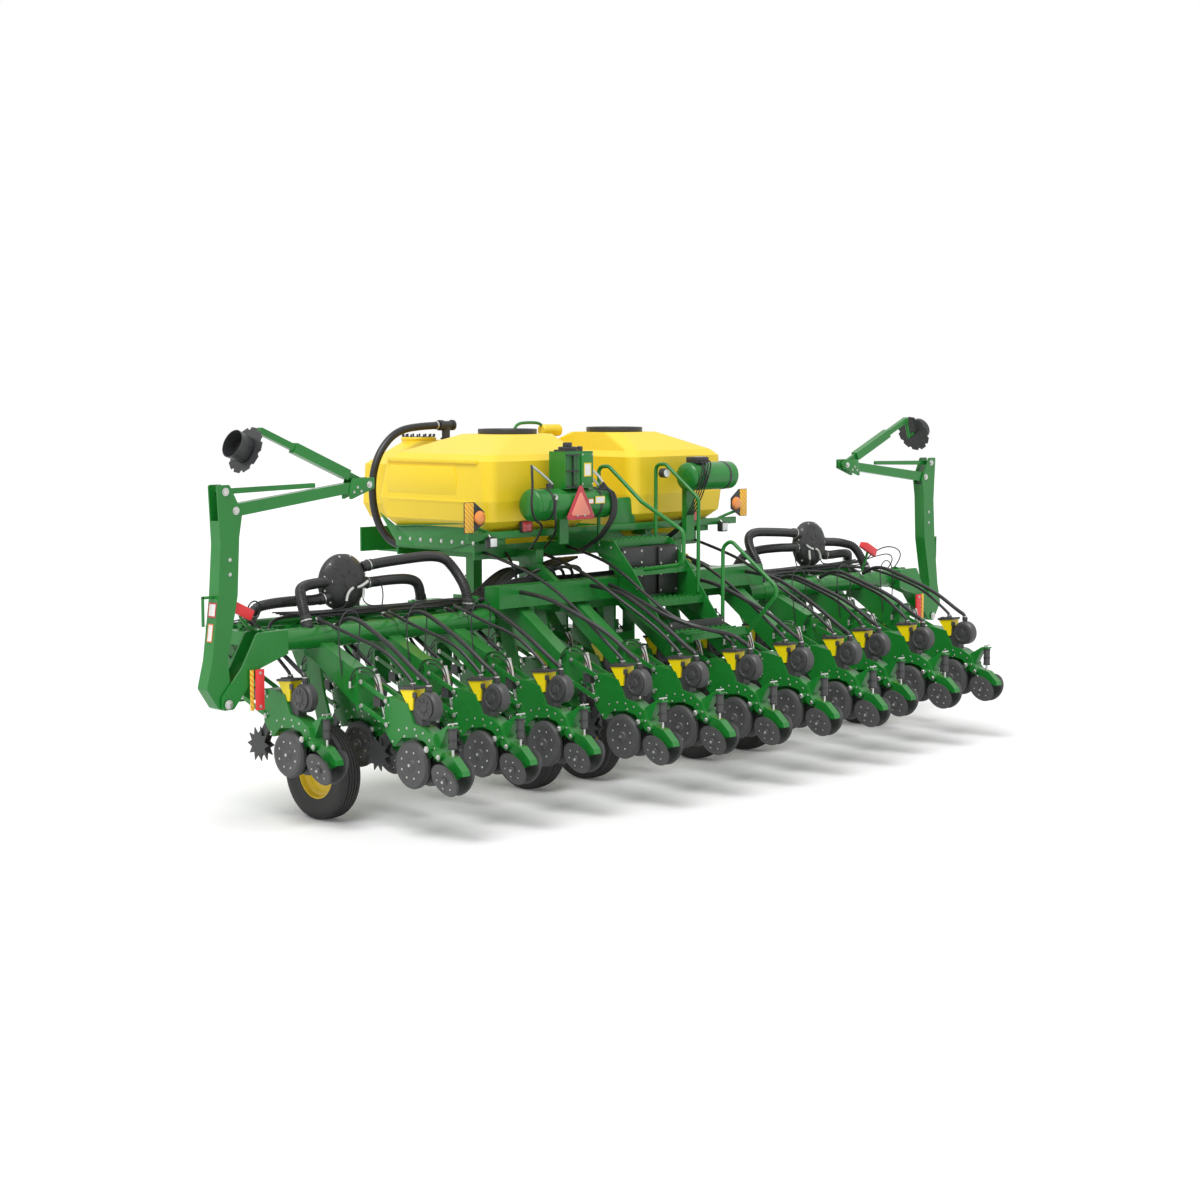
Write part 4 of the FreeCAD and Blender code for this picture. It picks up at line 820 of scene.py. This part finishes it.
# Oil and air side: drums, cooler with fins, meter door, breather, fittings and hoses
def oilSide():
    back, right, up = (0, -1, 0), (1, 0, 0), (0, 0, 1)
    parts = drumTrim(oilDrum) + drumTrim(airTank)
    fin = slab((-0.003, -0.014, -0.15), (0.003, 0.002, 0.15), 0.001, "blackMoulding")
    parts.append(spread(fin, [((-0.985 + 0.019 * n, 1.12, 2.94), up) for n in range(9)]))
    for low, high, edge, look in (
            ((-0.995, 1.1, 2.785), (-0.82, 1.122, 2.797), 0.002, "blackMoulding"),
            ((-0.995, 1.1, 3.088), (-0.82, 1.122, 3.1), 0.002, "blackMoulding"),
            ((-0.995, 1.1, 2.935), (-0.82, 1.122, 2.945), 0.002, "blackMoulding"),
            ((-0.912, 1.098, 2.79), (-0.903, 1.122, 3.09), 0.002, "blackMoulding"),
            ((-0.80, 1.104, 2.8), (-0.64, 1.122, 3.11), 0.006, "greenEnamel"),
            ((-0.98, 1.13, 3.12), (-0.8, 1.3, 3.142), 0.005, "blackMoulding"),
            ((-0.96, 1.145, 3.14), (-0.82, 1.265, 3.17), 0.01, "blackMoulding"),
            ((0.8, 1.06, 2.972), (0.98, 1.21, 3.035), 0.008, "blackMoulding")):
        parts.append(slab(low, high, edge, look))
    parts += [bolts(0.007, [(x, 1.104, z) for x in (-0.785, -0.655)
                            for z in (2.815, 3.095)], back),
              rod((-0.89, 1.205, 3.165), (-0.89, 1.205, 3.21), 0.045, 24, "blackMoulding"),
              rod((-0.72, 1.21, 3.12), (-0.72, 1.21, 3.17), 0.03, 20, "darkSteel"),
              rod((-1.1, 1.23, 2.77), (-1.1, 1.23, 2.83), 0.035, 20, "darkSteel"),
              label((-0.575, 1.0775, 2.66), right, up, 0.13, 0.07, "yellowFilm"),
              label((-0.7, 1.0775, 2.65), right, up, 0.07, 0.05, "orangeFilm"),
              label((-0.72, 1.103, 2.95), right, up, 0.1, 0.13, "yellowFilm"),
              bolts(0.01, [(0.83 + 0.04 * n, 1.1, 3.035) for n in range(4)], up)]
    fittings = [[(-1.446, 1.12, 3.003), (-1.3, 1.13, 2.93), (-1.147, 1.15, 2.827)],
                [(-0.63, 1.18, 2.946), (-0.56, 1.15, 2.94), (-0.498, 1.12, 2.826)],
                [(-0.63, 1.2, 2.88), (-0.55, 1.18, 2.86), (-0.51, 1.16, 2.79)],
                [(-1.15, 1.12, 2.72), (-1.15, 1.06, 2.72), (-1.2, 1.05, 2.68)]]
    oilLines = [[(-1.446, 1.12, 3.003), (-1.5, 1.06, 2.99), (-1.5, 1.05, 2.8),
                 (-1.523, 1.05, 2.65), (-1.45, 1.08, 2.5), (-1.292, 1.12, 2.45),
                 (-1.2, 1.3, 2.3), (-1.1, 1.5, 2.2)],
                [(-1.2, 1.05, 2.68), (-1.22, 1.04, 2.58), (-1.2, 1.05, 2.44), (-1.05, 1.2, 2.35),
                 (-0.9, 1.5, 2.2)]]
    oilLines += [[(-0.498 - 0.02 * n, 1.12, 2.826 - 0.02 * n), (-0.47 + 0.012 * n, 1.07, 2.76),
                  (-0.422 + 0.02 * n, 1.06, 2.671), (-0.40 + 0.02 * n, 1.09, 2.5),
                  (-0.43 + 0.016 * n, 1.15, 2.38), (-0.457 + 0.02 * n, 1.25, 2.26),
                  (-0.45 + 0.02 * n, 1.5, 2.14)] for n in range(4)]
    airLines = [[(0.83 + 0.04 * n, 1.06, 3.0), (0.83 + 0.04 * n, 1.0, 3.0),
                 (0.79 + 0.04 * n, 0.99, 2.88), (0.77 + 0.035 * n, 1.03, 2.7),
                 (0.8 + 0.03 * n, 1.15, 2.5), (0.82 + 0.03 * n, 1.35, 2.3),
                 (0.8 + 0.03 * n, 1.6, 2.15)] for n in range(4)]
    parts += [hoseAlong(fittings, 0.013, "zincSteel", 2),
              hoseAlong(oilLines, 0.012, rings=2, tally="oil hoses"),
              hoseAlong(airLines, 0.007, rings=1, tally="air side lines")]
    finishPiece(parts, "oilAndAirSide", "frame")


# Rear lamps, striped plates and the slow-vehicle triangle, all blank
sign = {"x": -0.85, "y": 1.066, "z": 2.6}


def triangle(size, forward, look):
    # a three-sided plate with its corners cut off
    x, y, z = sign["x"], sign["y"], sign["z"]
    bpy.ops.mesh.primitive_cylinder_add(vertices=3, radius=size * 1.14, depth=0.004,
                                        location=(x, y - forward, z))
    piece = bpy.context.object
    piece.rotation_euler = (pi / 2, 0, 0)
    settle(piece)
    for corner in (-pi / 6, pi / 2, -5 * pi / 6):
        way = Vector((cos(corner), 0, sin(corner)))
        trimmed(piece, Vector((x, y, z)) + way * size, way)
    return coated(roundOff(piece, 0.001), look)


def lampsAndSign():
    back = (0, -1, 0)
    parts = [triangle(0.205, 0, "redFilm"), triangle(0.137, 0.0035, "salmonFilm"),
             bolts(0.008, [(-0.9, 1.06, 2.52), (-0.8, 1.06, 2.52)], back),
             slab((-0.9, 1.068, 2.5), (-0.8, 1.1, 2.7), 0.004, "greenEnamel"),
             slab((-1.9, 1.48, 2.31), (1.9, 1.53, 2.38), 0.006, "greenEnamel")]
    for side in (-1, 1):
        parts.append(slabOn(side, (-2.01, 1.43, 2.385), (-1.755, 1.44, 2.672), 0.003, "darkSteel",
                            [((-1.88, 0, 2.672), (0.59, 0, 0.8)),
                             ((-1.755, 0, 2.47), (0.5, 0, -0.85))]))
        for corner, opposite, edge, look in (
                ((-2.005, 1.424, 2.39), (-1.895, 1.431, 2.667), 0.002, "stripedFilm"),
                ((-1.257, 1.444, 2.36), (-1.117, 1.49, 2.47), 0.008, "blackMoulding"),
                ((-1.249, 1.436, 2.368), (-1.125, 1.45, 2.462), 0.005, "redLens"),
                ((-1.7, 1.42, 2.235), (-1.6, 1.49, 2.335), 0.012, "blackMoulding"),
                ((-1.69, 1.412, 2.245), (-1.61, 1.425, 2.325), 0.006, "clearLens"),
                ((-1.51, 1.53, 2.25), (-1.39, 1.76, 2.32), 0.005, "greenEnamel"),
                ((-0.65, 1.53, 2.25), (-0.55, 1.76, 2.32), 0.005, "greenEnamel")):
            parts.append(slabOn(side, corner, opposite, edge, look))
        x = side * 1.825
        parts += [turned([(0, 0.066), (0.012, 0.066), (0.014, 0.062), (0.026, 0.06),
                          (0.036, 0.048), (0.04, 0.02)], (x, 1.43, 2.525), back, 40, "amberLens"),
                  turned([(0, 0.07), (0.01, 0.07), (0.012, 0.066)], (x, 1.432, 2.525), back, 40,
                         "blackMoulding"),
                  rod(*sided([(-1.65, 1.46, 2.33), (-1.65, 1.5, 2.36)], side), 0.012, 12,
                      "zincSteel"),
                  hosesOn(side, [[(-1.6, 1.505, 2.36), (-1.72, 1.5, 2.4), (-1.86, 1.46, 2.44)]],
                          0.016, "greenEnamel", 2)]
    parts += [rod((0.53, 1.3, 2.879), (0.53, 1.225, 2.879), 0.047, 32, "blackMoulding"),
              rod((0.53, 1.226, 2.879), (0.53, 1.219, 2.879), 0.039, 32, "clearLens"),
              slab((0.05, 1.5, 2.36), (0.365, 1.512, 2.64), 0.003, "greenEnamel",
                   [((0.05, 0, 2.56), (-1, 0, 1)), ((0.365, 0, 2.56), (1, 0, 1))]),
              slab((1.107, 1.49, 1.8), (1.207, 1.6, 2.03), 0.012, "yellowMoulding",
                   [((1.107, 0, 1.86), (-1, 0, -1)), ((1.207, 0, 1.95), (1, 0, 0.6))]),
              # bow over the walkway and the small canister on it
              hoseAlong([[(-0.23, 2.64, 2.4), (-0.23, 2.64, 3.2), (-0.2, 2.64, 3.36),
                          (0, 2.64, 3.375), (0.2, 2.64, 3.36), (0.21, 2.64, 3.2),
                          (0.21, 2.64, 2.4)]], 0.016, "greenEnamel", 2),
              rod((0.17, 2.64, 3.29), (0.43, 2.64, 3.29), 0.062, 32, "yellowTank")]
    finishPiece(parts, "lampsAndSign", "frame")


# Steps: toothed treads, black panels with bright bolts
treads = [(2.24, 1.18, 0.25), (1.97, 0.94, 0.22), (1.68, 0.72, 0.22), (1.41, 0.15, 0.3)]
stepWide, teethAcross = 0.82, 11


def stepDetails():
    tooth = slab((-0.026, -0.004, -0.004), (0.026, 0.004, 0.016), 0.003, "greenEnamel")
    parts = [spread(tooth, [((-0.29 + stepWide / teethAcross * (n + 0.5), edge + depth * share,
                              top), (0, 0, 1)) for top, edge, depth in treads
                            for n in range(teethAcross) for share in (0.02, 0.5, 0.98)])]
    for low, high in (((-0.28, 1.06, 1.71), (0.02, 1.072, 1.93)),
                      ((-0.28, 1.06, 2.0), (0.02, 1.072, 2.17)),
                      ((0.24, 1.06, 1.975), (0.52, 1.072, 2.17)),
                      ((0.24, 1.06, 1.71), (0.52, 1.072, 1.93)),
                      ((-0.28, 0.45, 1.37), (0.52, 0.462, 1.5))):
        parts += [slab(low, high, 0.003, "blackMoulding"),
                  bolts(0.009, [(x, low[1], z) for x in (low[0] + 0.03, high[0] - 0.03)
                                for z in (low[2] + 0.03, high[2] - 0.03)], (0, -1, 0))]
    for x, way in ((-0.297, -1), (0.537, 1)):
        parts.append(bolts(0.011, [(x, y, z) for y, z in
                                   ((1.36, 2.2), (1.2, 2.18), (1.05, 1.93), (0.85, 1.8),
                                    (0.75, 1.65), (0.45, 1.38), (0.2, 1.37))], (way, 0, 0)))
    finishPiece(parts, "stepDetails", "frame")


for make in (tankLids, tankTrim, saddles, oilSide, lampsAndSign, stepDetails):
    make()
print("tanks, oil side, lamps and steps made")

# Row units: places on one unit, x from its middle and y from its rank's line
meter = {"y": -0.107, "z": 1.122}
damperY = -0.385
cylinder = {"low": (0, 0.50, 1.12), "high": (0, 0.56, 1.33), "middle": (0.53, 1.225)}
closing = {"hub": (0.092, -0.386, 0.556), "lean": (0.927, 0, -0.375), "boltCircle": 0.085}
gauge = {"z": 0.639, "face": 0.1215, "boltCircle": 0.115}


def bothWays(model, half, points):
    # a small model on both sides of a unit, half a width off its middle
    return spread(model, [((way * half, y, z), (way, 0, 0)) for way in (-1, 1) for y, z in points])


# What is bolted, pinned, clamped and labelled on each unit
def unitHardware():
    up = (0, 0, 1)
    pin = turned([(0, 0.022), (0.003, 0.022), (0.004, 0.017), (0.011, 0.016), (0.013, 0.012)],
                 sides=16, look="zincSteel")
    parts = [bothWays(pin, 0.082, [(0.67, 1.264), (0.351, 1.134), (0.667, 1.064), (0.348, 0.934)]),
             bothWays(hexBolt(0.008), 0.07, [
                 (0.33, 1.10), (0.33, 0.95), (0.28, 0.80), (0.20, 0.905), (0.10, 0.93), (0, 0.93),
                 (-0.10, 0.91), (-0.18, 0.86), (-0.24, 0.80), (-0.28, 0.73), (0.13, 0.86),
                 (-0.02, 0.88)]),
             bothWays(hexBolt(0.02), 0.126, [(-0.205, 0.795)]),
             bothWays(hexBolt(0.016), 0.07, [(-0.285, 0.733)]),
             # meter: ribbed cover with a hub and latch, elbow cuff, hopper cap
             turned([(0, 0.1), (0.005, 0.098), (0.006, 0.078), (0.002, 0.074), (0.0021, 0.04),
                     (0.01, 0.036), (0.012, 0.03), (0.013, 0.012)],
                    (-0.0635, meter["y"], meter["z"]), (-1, 0, 0), 32, "meterMoulding")]
    for way, face in ((-1, -0.064), (1, 0.048)):
        parts += ribsRound(8, (0.036, -0.003, 0), (0.098, 0.003, 0.007), 0.001, "meterMoulding",
                           placement((face, meter["y"], meter["z"]), (way, 0, 0)))
    parts += [slab((-0.07, -0.01, 1.19), (-0.05, 0.03, 1.235), 0.004, "meterMoulding"),
              turned([(0, 0.027), (0.002, 0.029), (0.034, 0.029), (0.036, 0.024)],
                     (0, -0.1, 1.252), sides=20, look="blackMoulding"),
              turned([(0, 0.034), (0.002, 0.036), (0.012, 0.036), (0.014, 0.03), (0.03, 0.022),
                      (0.034, 0.019)], (0, 0.1, 1.262), sides=20, look="blackMoulding"),
              slab((-0.03, 0.15, 1.26), (0.03, 0.2, 1.272), 0.003, "blackMoulding")]
    parts += [ringBand(0.0245, 0.011, 0.0025, (0, y, z), up, "zincSteel", 16)
              for y, z in ((-0.098, 1.29), (0.1, 1.292))]
    # down-pressure cylinder: labels and zinc glands; damper collars and its T-handle
    low, high = Vector(cylinder["low"]), Vector(cylinder["high"])
    run = (high - low).normalized()
    parts += [ringBand(0.028, 0.015, 0.004, low.lerp(high, share), run, "zincSteel")
              for share in (0.02, 0.92)]
    parts += [label((way * 0.0245, *cylinder["middle"]), (0, way, 0), run, 0.024, 0.075,
                    "orangeFilm") for way in (-1, 1)]
    parts += [ringBand(0.037, 0.015, 0.003, (0, damperY, z), up, "blackMoulding", 24)
              for z in (0.8, 0.87, 0.955)]
    # handle, fittings of the valve block's two thin hoses, and the one on the beam
    for start, end, radius, sides in (((0, damperY, 0.975), (0, damperY, 1.005), 0.009, 12),
                                      ((-0.05, damperY, 1.008), (0.05, damperY, 1.008), 0.008, 12),
                                      ((-0.045, 0.47, 1.145), (-0.045, 0.47, 1.17), 0.009, 6),
                                      ((-0.03, 0.5, 1.145), (-0.03, 0.5, 1.17), 0.009, 6),
                                      ((-0.1, 0.79, 1.2), (-0.1, 0.79, 1.26), 0.011, 8),
                                      ((-0.1, 0.79, 1.21), (-0.06, 0.79, 1.21), 0.011, 8)):
        parts.append(rod(start, end, radius, sides, "zincSteel"))
    parts.append(hoseAlong([[(-0.045, 0.47, 1.14), (-0.045, 0.47, 1.24), (-0.06, 0.52, 1.36),
                             (-0.09, 0.66, 1.4), (-0.105, 0.76, 1.34), (-0.1, 0.79, 1.26)],
                            [(-0.03, 0.5, 1.14), (-0.035, 0.5, 1.22), (-0.05, 0.56, 1.33),
                             (-0.08, 0.67, 1.36), (-0.095, 0.75, 1.31), (-0.1, 0.79, 1.25)]],
                           0.0055, rings=1, tally="one unit's valve hoses"))
    # four bolts in the plate that the links are pinned against
    parts.append(bolts(0.011, [(x, 0.688, z) for x in (-0.078, 0.078) for z in (1.05, 1.35)],
                       (0, -1, 0)))
    return joined(parts)


def closingBolts():
    parts = []
    x, y, z = closing["hub"]
    leanX, leanY, leanZ = closing["lean"]
    along = Vector((0, 1, 0))
    for way in (-1, 1):
        out = Vector((way * leanX, leanY, leanZ))
        hub = Vector((way * x, y, z)) + out * 0.0102
        across = out.cross(along)
        parts += [bolts(0.006, [hub + along * a + across * b
                                for a, b in circle(6, closing["boltCircle"])], out),
                  turned([(0, 0.034), (0.01, 0.03), (0.014, 0.02)], hub, out, 20, "wheelFace"),
                  turned([(0.013, 0.013), (0.026, 0.012)], hub, out, 6, "zincSteel")]
    return joined(parts)


def gaugeBolts():
    z = gauge["z"]
    ring = [(a, z + b) for a, b in circle(8, gauge["boltCircle"], pi / 8)]
    parts = [bothWays(hexBolt(0.0075), gauge["face"], ring),
             bothWays(hexBolt(0.005), 0.119, [(a, z + b) for a, b in circle(3, 0.04)])]
    for way in (-1, 1):
        hub, out = (way * 0.115, 0, z), (way, 0, 0)
        parts += [turned([(0, 0.05), (0.004, 0.048), (0.012, 0.036), (0.014, 0.02)], hub, out, 24,
                         "wheelFace"),
                  turned([(0.012, 0.015), (0.026, 0.014)], hub, out, 6, "zincSteel")]
    return joined(parts)


def everyUnit():
    models = {"UnitHardware": unitHardware(), "ClosingBolts": closingBolts()}
    wheel = gaugeBolts()
    for side, places in rows.items():
        for kind, model in models.items():
            made = [copied(model, Matrix.Translation((x, y, 0))) for x, y in places]
            finishPiece(made, side + kind, bodyOf[side])
        for rank, test in (("rear", lambda y: y < 0.5), ("front", lambda y: y > 0.5)):
            made = [copied(wheel, Matrix.Translation((x, y, 0))) for x, y in places if test(y)]
            finishPiece(made, f"{side}{rank.title()}GaugeBolts", f"{side}_{rank}_gauge_wheels")
    for model in [*models.values(), wheel]:
        bpy.data.objects.remove(model)


# Ribbed tyres in place of the solid ones, with lug nuts found on each rim's face
tread = [(0.072, 0.236), (0.085, 0.27), (0.096, 0.315), (0.1, 0.355), (0.0955, 0.388),
         (0.088, 0.405), (0.072, 0.4125), (0.05, 0.415), (0.0485, 0.404), (0.0415, 0.404),
         (0.04, 0.4164), (0.0195, 0.4168), (0.0185, 0.406), (0.0115, 0.406), (0.01, 0.4168)]
axleHeight = 0.417
wheels = {"wing": ("", [(3.81, 1.303)]), "centre": ("s", [(0.786, 1.064), (1.556, 1.064)])}


def tyres():
    profile = [(-h, r) for h, r in tread] + tread[::-1] + [(0.071, 0.229), (-0.071, 0.229)]
    for side, word in sideWord.items():
        for kind, (plural, places) in wheels.items():
            node, body = f"{word}_{kind}_tyre{plural}", f"{word}_{kind}_wheel{plural}"
            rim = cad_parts[node.replace("tyre", "rim")]
            made, nuts = [], []
            for x, y in places:
                x = side * x
                made.append(turned(profile, (x, y, axleHeight), (1, 0, 0), 72, "tyreRubber", True))
                for way in (-1, 1):
                    for dy, dz in circle(6, 0.075):
                        hit, spot, *rest = rim.ray_cast(
                            Vector((x + way * 0.4, y + dy + gaugeLine, axleHeight + dz)),
                            Vector((-way, 0, 0)))
                        if hit and abs(spot.x - x) < 0.12:
                            nuts.append(((spot.x, y + dy, axleHeight + dz), (way, 0, 0)))
            tyre = finishPiece(made, f"{word}{kind.title()}Tyre", body, "tyreRubber", 30)
            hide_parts(node)
            if nuts:
                finishPiece([spread(hexBolt(0.012), nuts)], f"{word}{kind.title()}Nuts", body)


# Fine work on the wings: end flanges, collars, clips, red transport locks, striped film
def wingTrim(side):
    back = (0, -1, 0)
    y, z = tube["y"], tube["z"]
    collars = (-2.11, -2.96, -3.64, -4.33)
    parts = [turned([(0, 0.118), (0.003, 0.121), (0.015, 0.121), (0.018, 0.118)],
                    onSide((-4.452, y, z), side), (side, 0, 0), 48, "greenEnamel"),
             boltsOn(side, 0.01, [(-4.471, y + a, z + b) for a, b in circle(8, 0.108)],
                     (-1, 0, 0))]
    parts += [turned([(0, 0.097), (0.002, 0.101), (0.118, 0.101), (0.12, 0.097)],
                     onSide((x - 0.06, y, z), side), (-side, 0, 0), 48, "greenEnamel")
              for x in collars]
    parts.append(boltsOn(side, 0.012, [(x + dx, 1.96, 1.506 + dz) for x in collars
                                       for dx in (-0.075, 0.075) for dz in (0.035, 0.13)], back))
    clip = slab((-0.05, -0.03, 0), (0.05, 0.03, 0.006), 0.002, "darkSteel")
    parts += [spread(clip, [(onSide((x, 2.03, 1.676), side), (0, 0, 1))
                            for x in (-2.3, -2.75, -3.2, -3.5, -3.95)]),
              slabOn(side, (-4.665, 1.085, 1.06), (-4.579, 1.103, 1.4), 0.004, "redEnamel"),
              boltsOn(side, 0.01, [(-4.622, 1.085, z) for z in (1.09, 1.37)], back),
              slabOn(side, (-4.72, 1.09, 1.06), (-4.685, 1.1, 1.4), 0.002, "stripedFilm")]
    # upper lock handle on its stalk beside the marker's saddle
    spot, reach = (Vector((-4.74, 1.2, 1.9)), 0.3) if side < 0 else (Vector((3.82, 1.2, 1.96)), 0)
    handle = slab((-0.14, -0.022, -0.045), (0.14, 0.022, 0.045), 0.008, "redEnamel",
                  [((-0.06, 0, 0.045), (-0.35, 0, 1))])
    parts += [moved(handle, Matrix.Translation(spot) @ Matrix.Rotation(0.45, 4, "Y")),
              hoseAlong([[spot, spot + Vector((0, 0.03, -0.12)), (spot.x + reach, 1.3, 1.66)]],
                        0.014, "greenEnamel", 2)]
    finishPiece(parts, f"{sideWord[side]}WingTrim", bodyOf[sideWord[side]])


everyUnit()
tyres()
for side in (-1, 1):
    wingTrim(side)
print("unit hardware, tyres and wing trim made")


# Markers: pin heads, hook and blank labels on the posts, end plates on the arms, hub caps
def markerTrim(side):
    word = sideWord[side]
    back, front = (0, -1, 0), (0, 1, 0)
    head = turned([(0, 0.034), (0.005, 0.034), (0.006, 0.026), (0.016, 0.025), (0.019, 0.02)],
                  look="zincSteel")
    up, across = onSide((0.133, 0, 0.991), side), (0, side, 0)
    pins = ((-4.8, 2.72), (-4.902, 2.878))
    post = [spread(head, [(onSide((x, y, z), side), way) for x, z in pins
                          for y, way in ((1.1455, back), (1.2745, front))]),
            label(onSide((-5.0055, 1.21, 1.912), side), across, up, 0.105, 0.122, "redFilm"),
            label(onSide((-5.0305, 1.21, 1.725), side), across, up, 0.07, 0.15, "orangeFilm"),
            slabOn(side, (-5.11, 1.199, 1.78), (-5.088, 1.221, 2.03), 0.006, "greenEnamel"),
            slabOn(side, (-5.11, 1.199, 2.006), (-4.97, 1.221, 2.03), 0.006, "greenEnamel"),
            boltsOn(side, 0.012, [(-4.87, 1.145, z) for z in (2.2, 2.32)], back)]
    finishPiece(post, f"{word}MarkerPostTrim", f"{word}_marker_post")
    arm = [slabOn(side, (-3.59, y, 2.77), (-3.31, y + 0.009, 2.95), 0.003, "greenEnamel",
                  [((-3.33, y, 2.85), (0.08, 0, -0.23)), ((-3.59, y, 2.85), (-0.1, 0, 0.03)),
                   ((-3.56, y, 2.945), (-0.05, 0, 0.25))]) for y in (1.155, 1.256)]
    knob = turned([(0, 0.03), (0.004, 0.03), (0.005, 0.022), (0.014, 0.02)], sides=20,
                  look="zincSteel")
    arm += [spread(knob, [(onSide((-3.37, 1.155, 2.891), side), back),
                          (onSide((-3.37, 1.265, 2.891), side), front)]),
            boltsOn(side, 0.009, [(x, 1.155, z) for x, z in
                                  ((-3.54, 2.83), (-3.5, 2.87), (-3.46, 2.835))], back)]
    finishPiece(arm, f"{word}MarkerArmTrim", f"{word}_marker_arm")
    base = [turned([(0, 0.04), (0.005, 0.04), (0.006, 0.03), (0.014, 0.029), (0.018, 0.022)],
                   onSide((-4.929, 1.109, 1.133), side), back, look="zincSteel"),
            boltsOn(side, 0.014, [(-4.72, 1.139, 1.30), (-4.62, 1.139, 1.46)], back)]
    finishPiece(base, f"{word}MarkerBaseTrim", bodyOf[word])


# Bolts of the centre's rear brackets, and four thin lines with their clip at the front post
def centreBolts():
    lines = [[(x, 3.53, 2.0), (x, 3.56, 1.7), (x, 3.55, 1.4), (x, 3.5, 1.3)]
             for x in (-0.03, -0.01, 0.01, 0.03)]
    parts = [bolts(0.012, [(x + dx, 1.5, z) for x in (-1.143, -0.381, 0.381, 1.143)
                           for dx in (-0.07, 0.07) for z in (1.66, 1.86)], (0, -1, 0)),
             hoseAlong(lines, 0.008, rings=1, tally="front post's thin lines"),
             slab((-0.055, 3.535, 1.74), (0.055, 3.565, 1.765), 0.004, "darkSteel")]
    finishPiece(parts, "centreBolts", "frame")


for side in (-1, 1):
    markerTrim(side)
centreBolts()
print("marker trim made")
print("hoses and their metres", {key: (n, round(m, 2)) for key, (n, m) in hoseLengths.items()})


# Floor, light and camera
stage = {"floorSize": 120.0, "floorColour": "F8F8F8", "floorGlow": 0.06, "skyStrength": 0.56,
         "sunPower": 2.25, "sunAngle": 35, "sunAim": (0.55, 0.28, -1)}
view = {"lens": 65.85, "place": (-15.652, -15.981, 3.719), "down": 5.509, "round": -45.993,
        "farthest": 200}
bpy.ops.mesh.primitive_plane_add(size=stage["floorSize"], location=(0, 0, 0))
floor = bpy.context.object
floor.name = "studioFloor"
material, tree, shader, place = newMaterial("white studio floor")
shader.inputs["Base Color"].default_value = hexColour(stage["floorColour"])
shader.inputs["Roughness"].default_value = 0.9
lightPath = addNode(tree, "ShaderNodeLightPath")
shader.inputs["Emission Color"].default_value = (1, 1, 1, 1)
glow = addNode(tree, "ShaderNodeMath", {"operation": "MULTIPLY", 1: stage["floorGlow"]},
               {0: lightPath.outputs["Is Camera Ray"]})
tree.links.new(glow.outputs[0], shader.inputs["Emission Strength"])
floor.data.materials.append(material)

# a sky that is white to the camera and in reflections and dimmer as light
world = bpy.data.worlds.new("studio")
bpy.context.scene.world = world
world.use_nodes = True
tree = world.node_tree
tree.nodes.clear()
lightPath = addNode(tree, "ShaderNodeLightPath")
seen = addNode(tree, "ShaderNodeMath", {"operation": "MAXIMUM"},
               {0: lightPath.outputs["Is Camera Ray"], 1: lightPath.outputs["Is Glossy Ray"]})
seenAny = addNode(tree, "ShaderNodeMath", {"operation": "MAXIMUM"},
                  {0: seen.outputs[0], 1: lightPath.outputs["Is Transmission Ray"]})
power = addNode(tree, "ShaderNodeMapRange", {3: stage["skyStrength"], 4: 1.0},
                {"Value": seenAny.outputs[0]})
sky = addNode(tree, "ShaderNodeBackground", {"Color": (1, 1, 1, 1)},
              {"Strength": power.outputs[0]})
addNode(tree, "ShaderNodeOutputWorld", {}, {"Surface": sky.outputs[0]})

lamp = bpy.data.lights.new("sun", "SUN")
lamp.energy = stage["sunPower"]
lamp.angle = radians(stage["sunAngle"])
holder = bpy.data.objects.new("sun", lamp)
holder.rotation_euler = Vector(stage["sunAim"]).to_track_quat("-Z", "Y").to_euler()
bpy.context.scene.collection.objects.link(holder)

lens = bpy.data.cameras.new("viewer")
lens.lens = view["lens"]
lens.clip_end = view["farthest"]
viewer = bpy.data.objects.new("viewer", lens)
viewer.location = view["place"]
viewer.rotation_euler = (radians(90 - view["down"]), 0, radians(view["round"]))
bpy.context.scene.collection.objects.link(viewer)
bpy.context.scene.camera = viewer
bpy.context.scene.view_settings.view_transform = "Standard"
print("stage set")
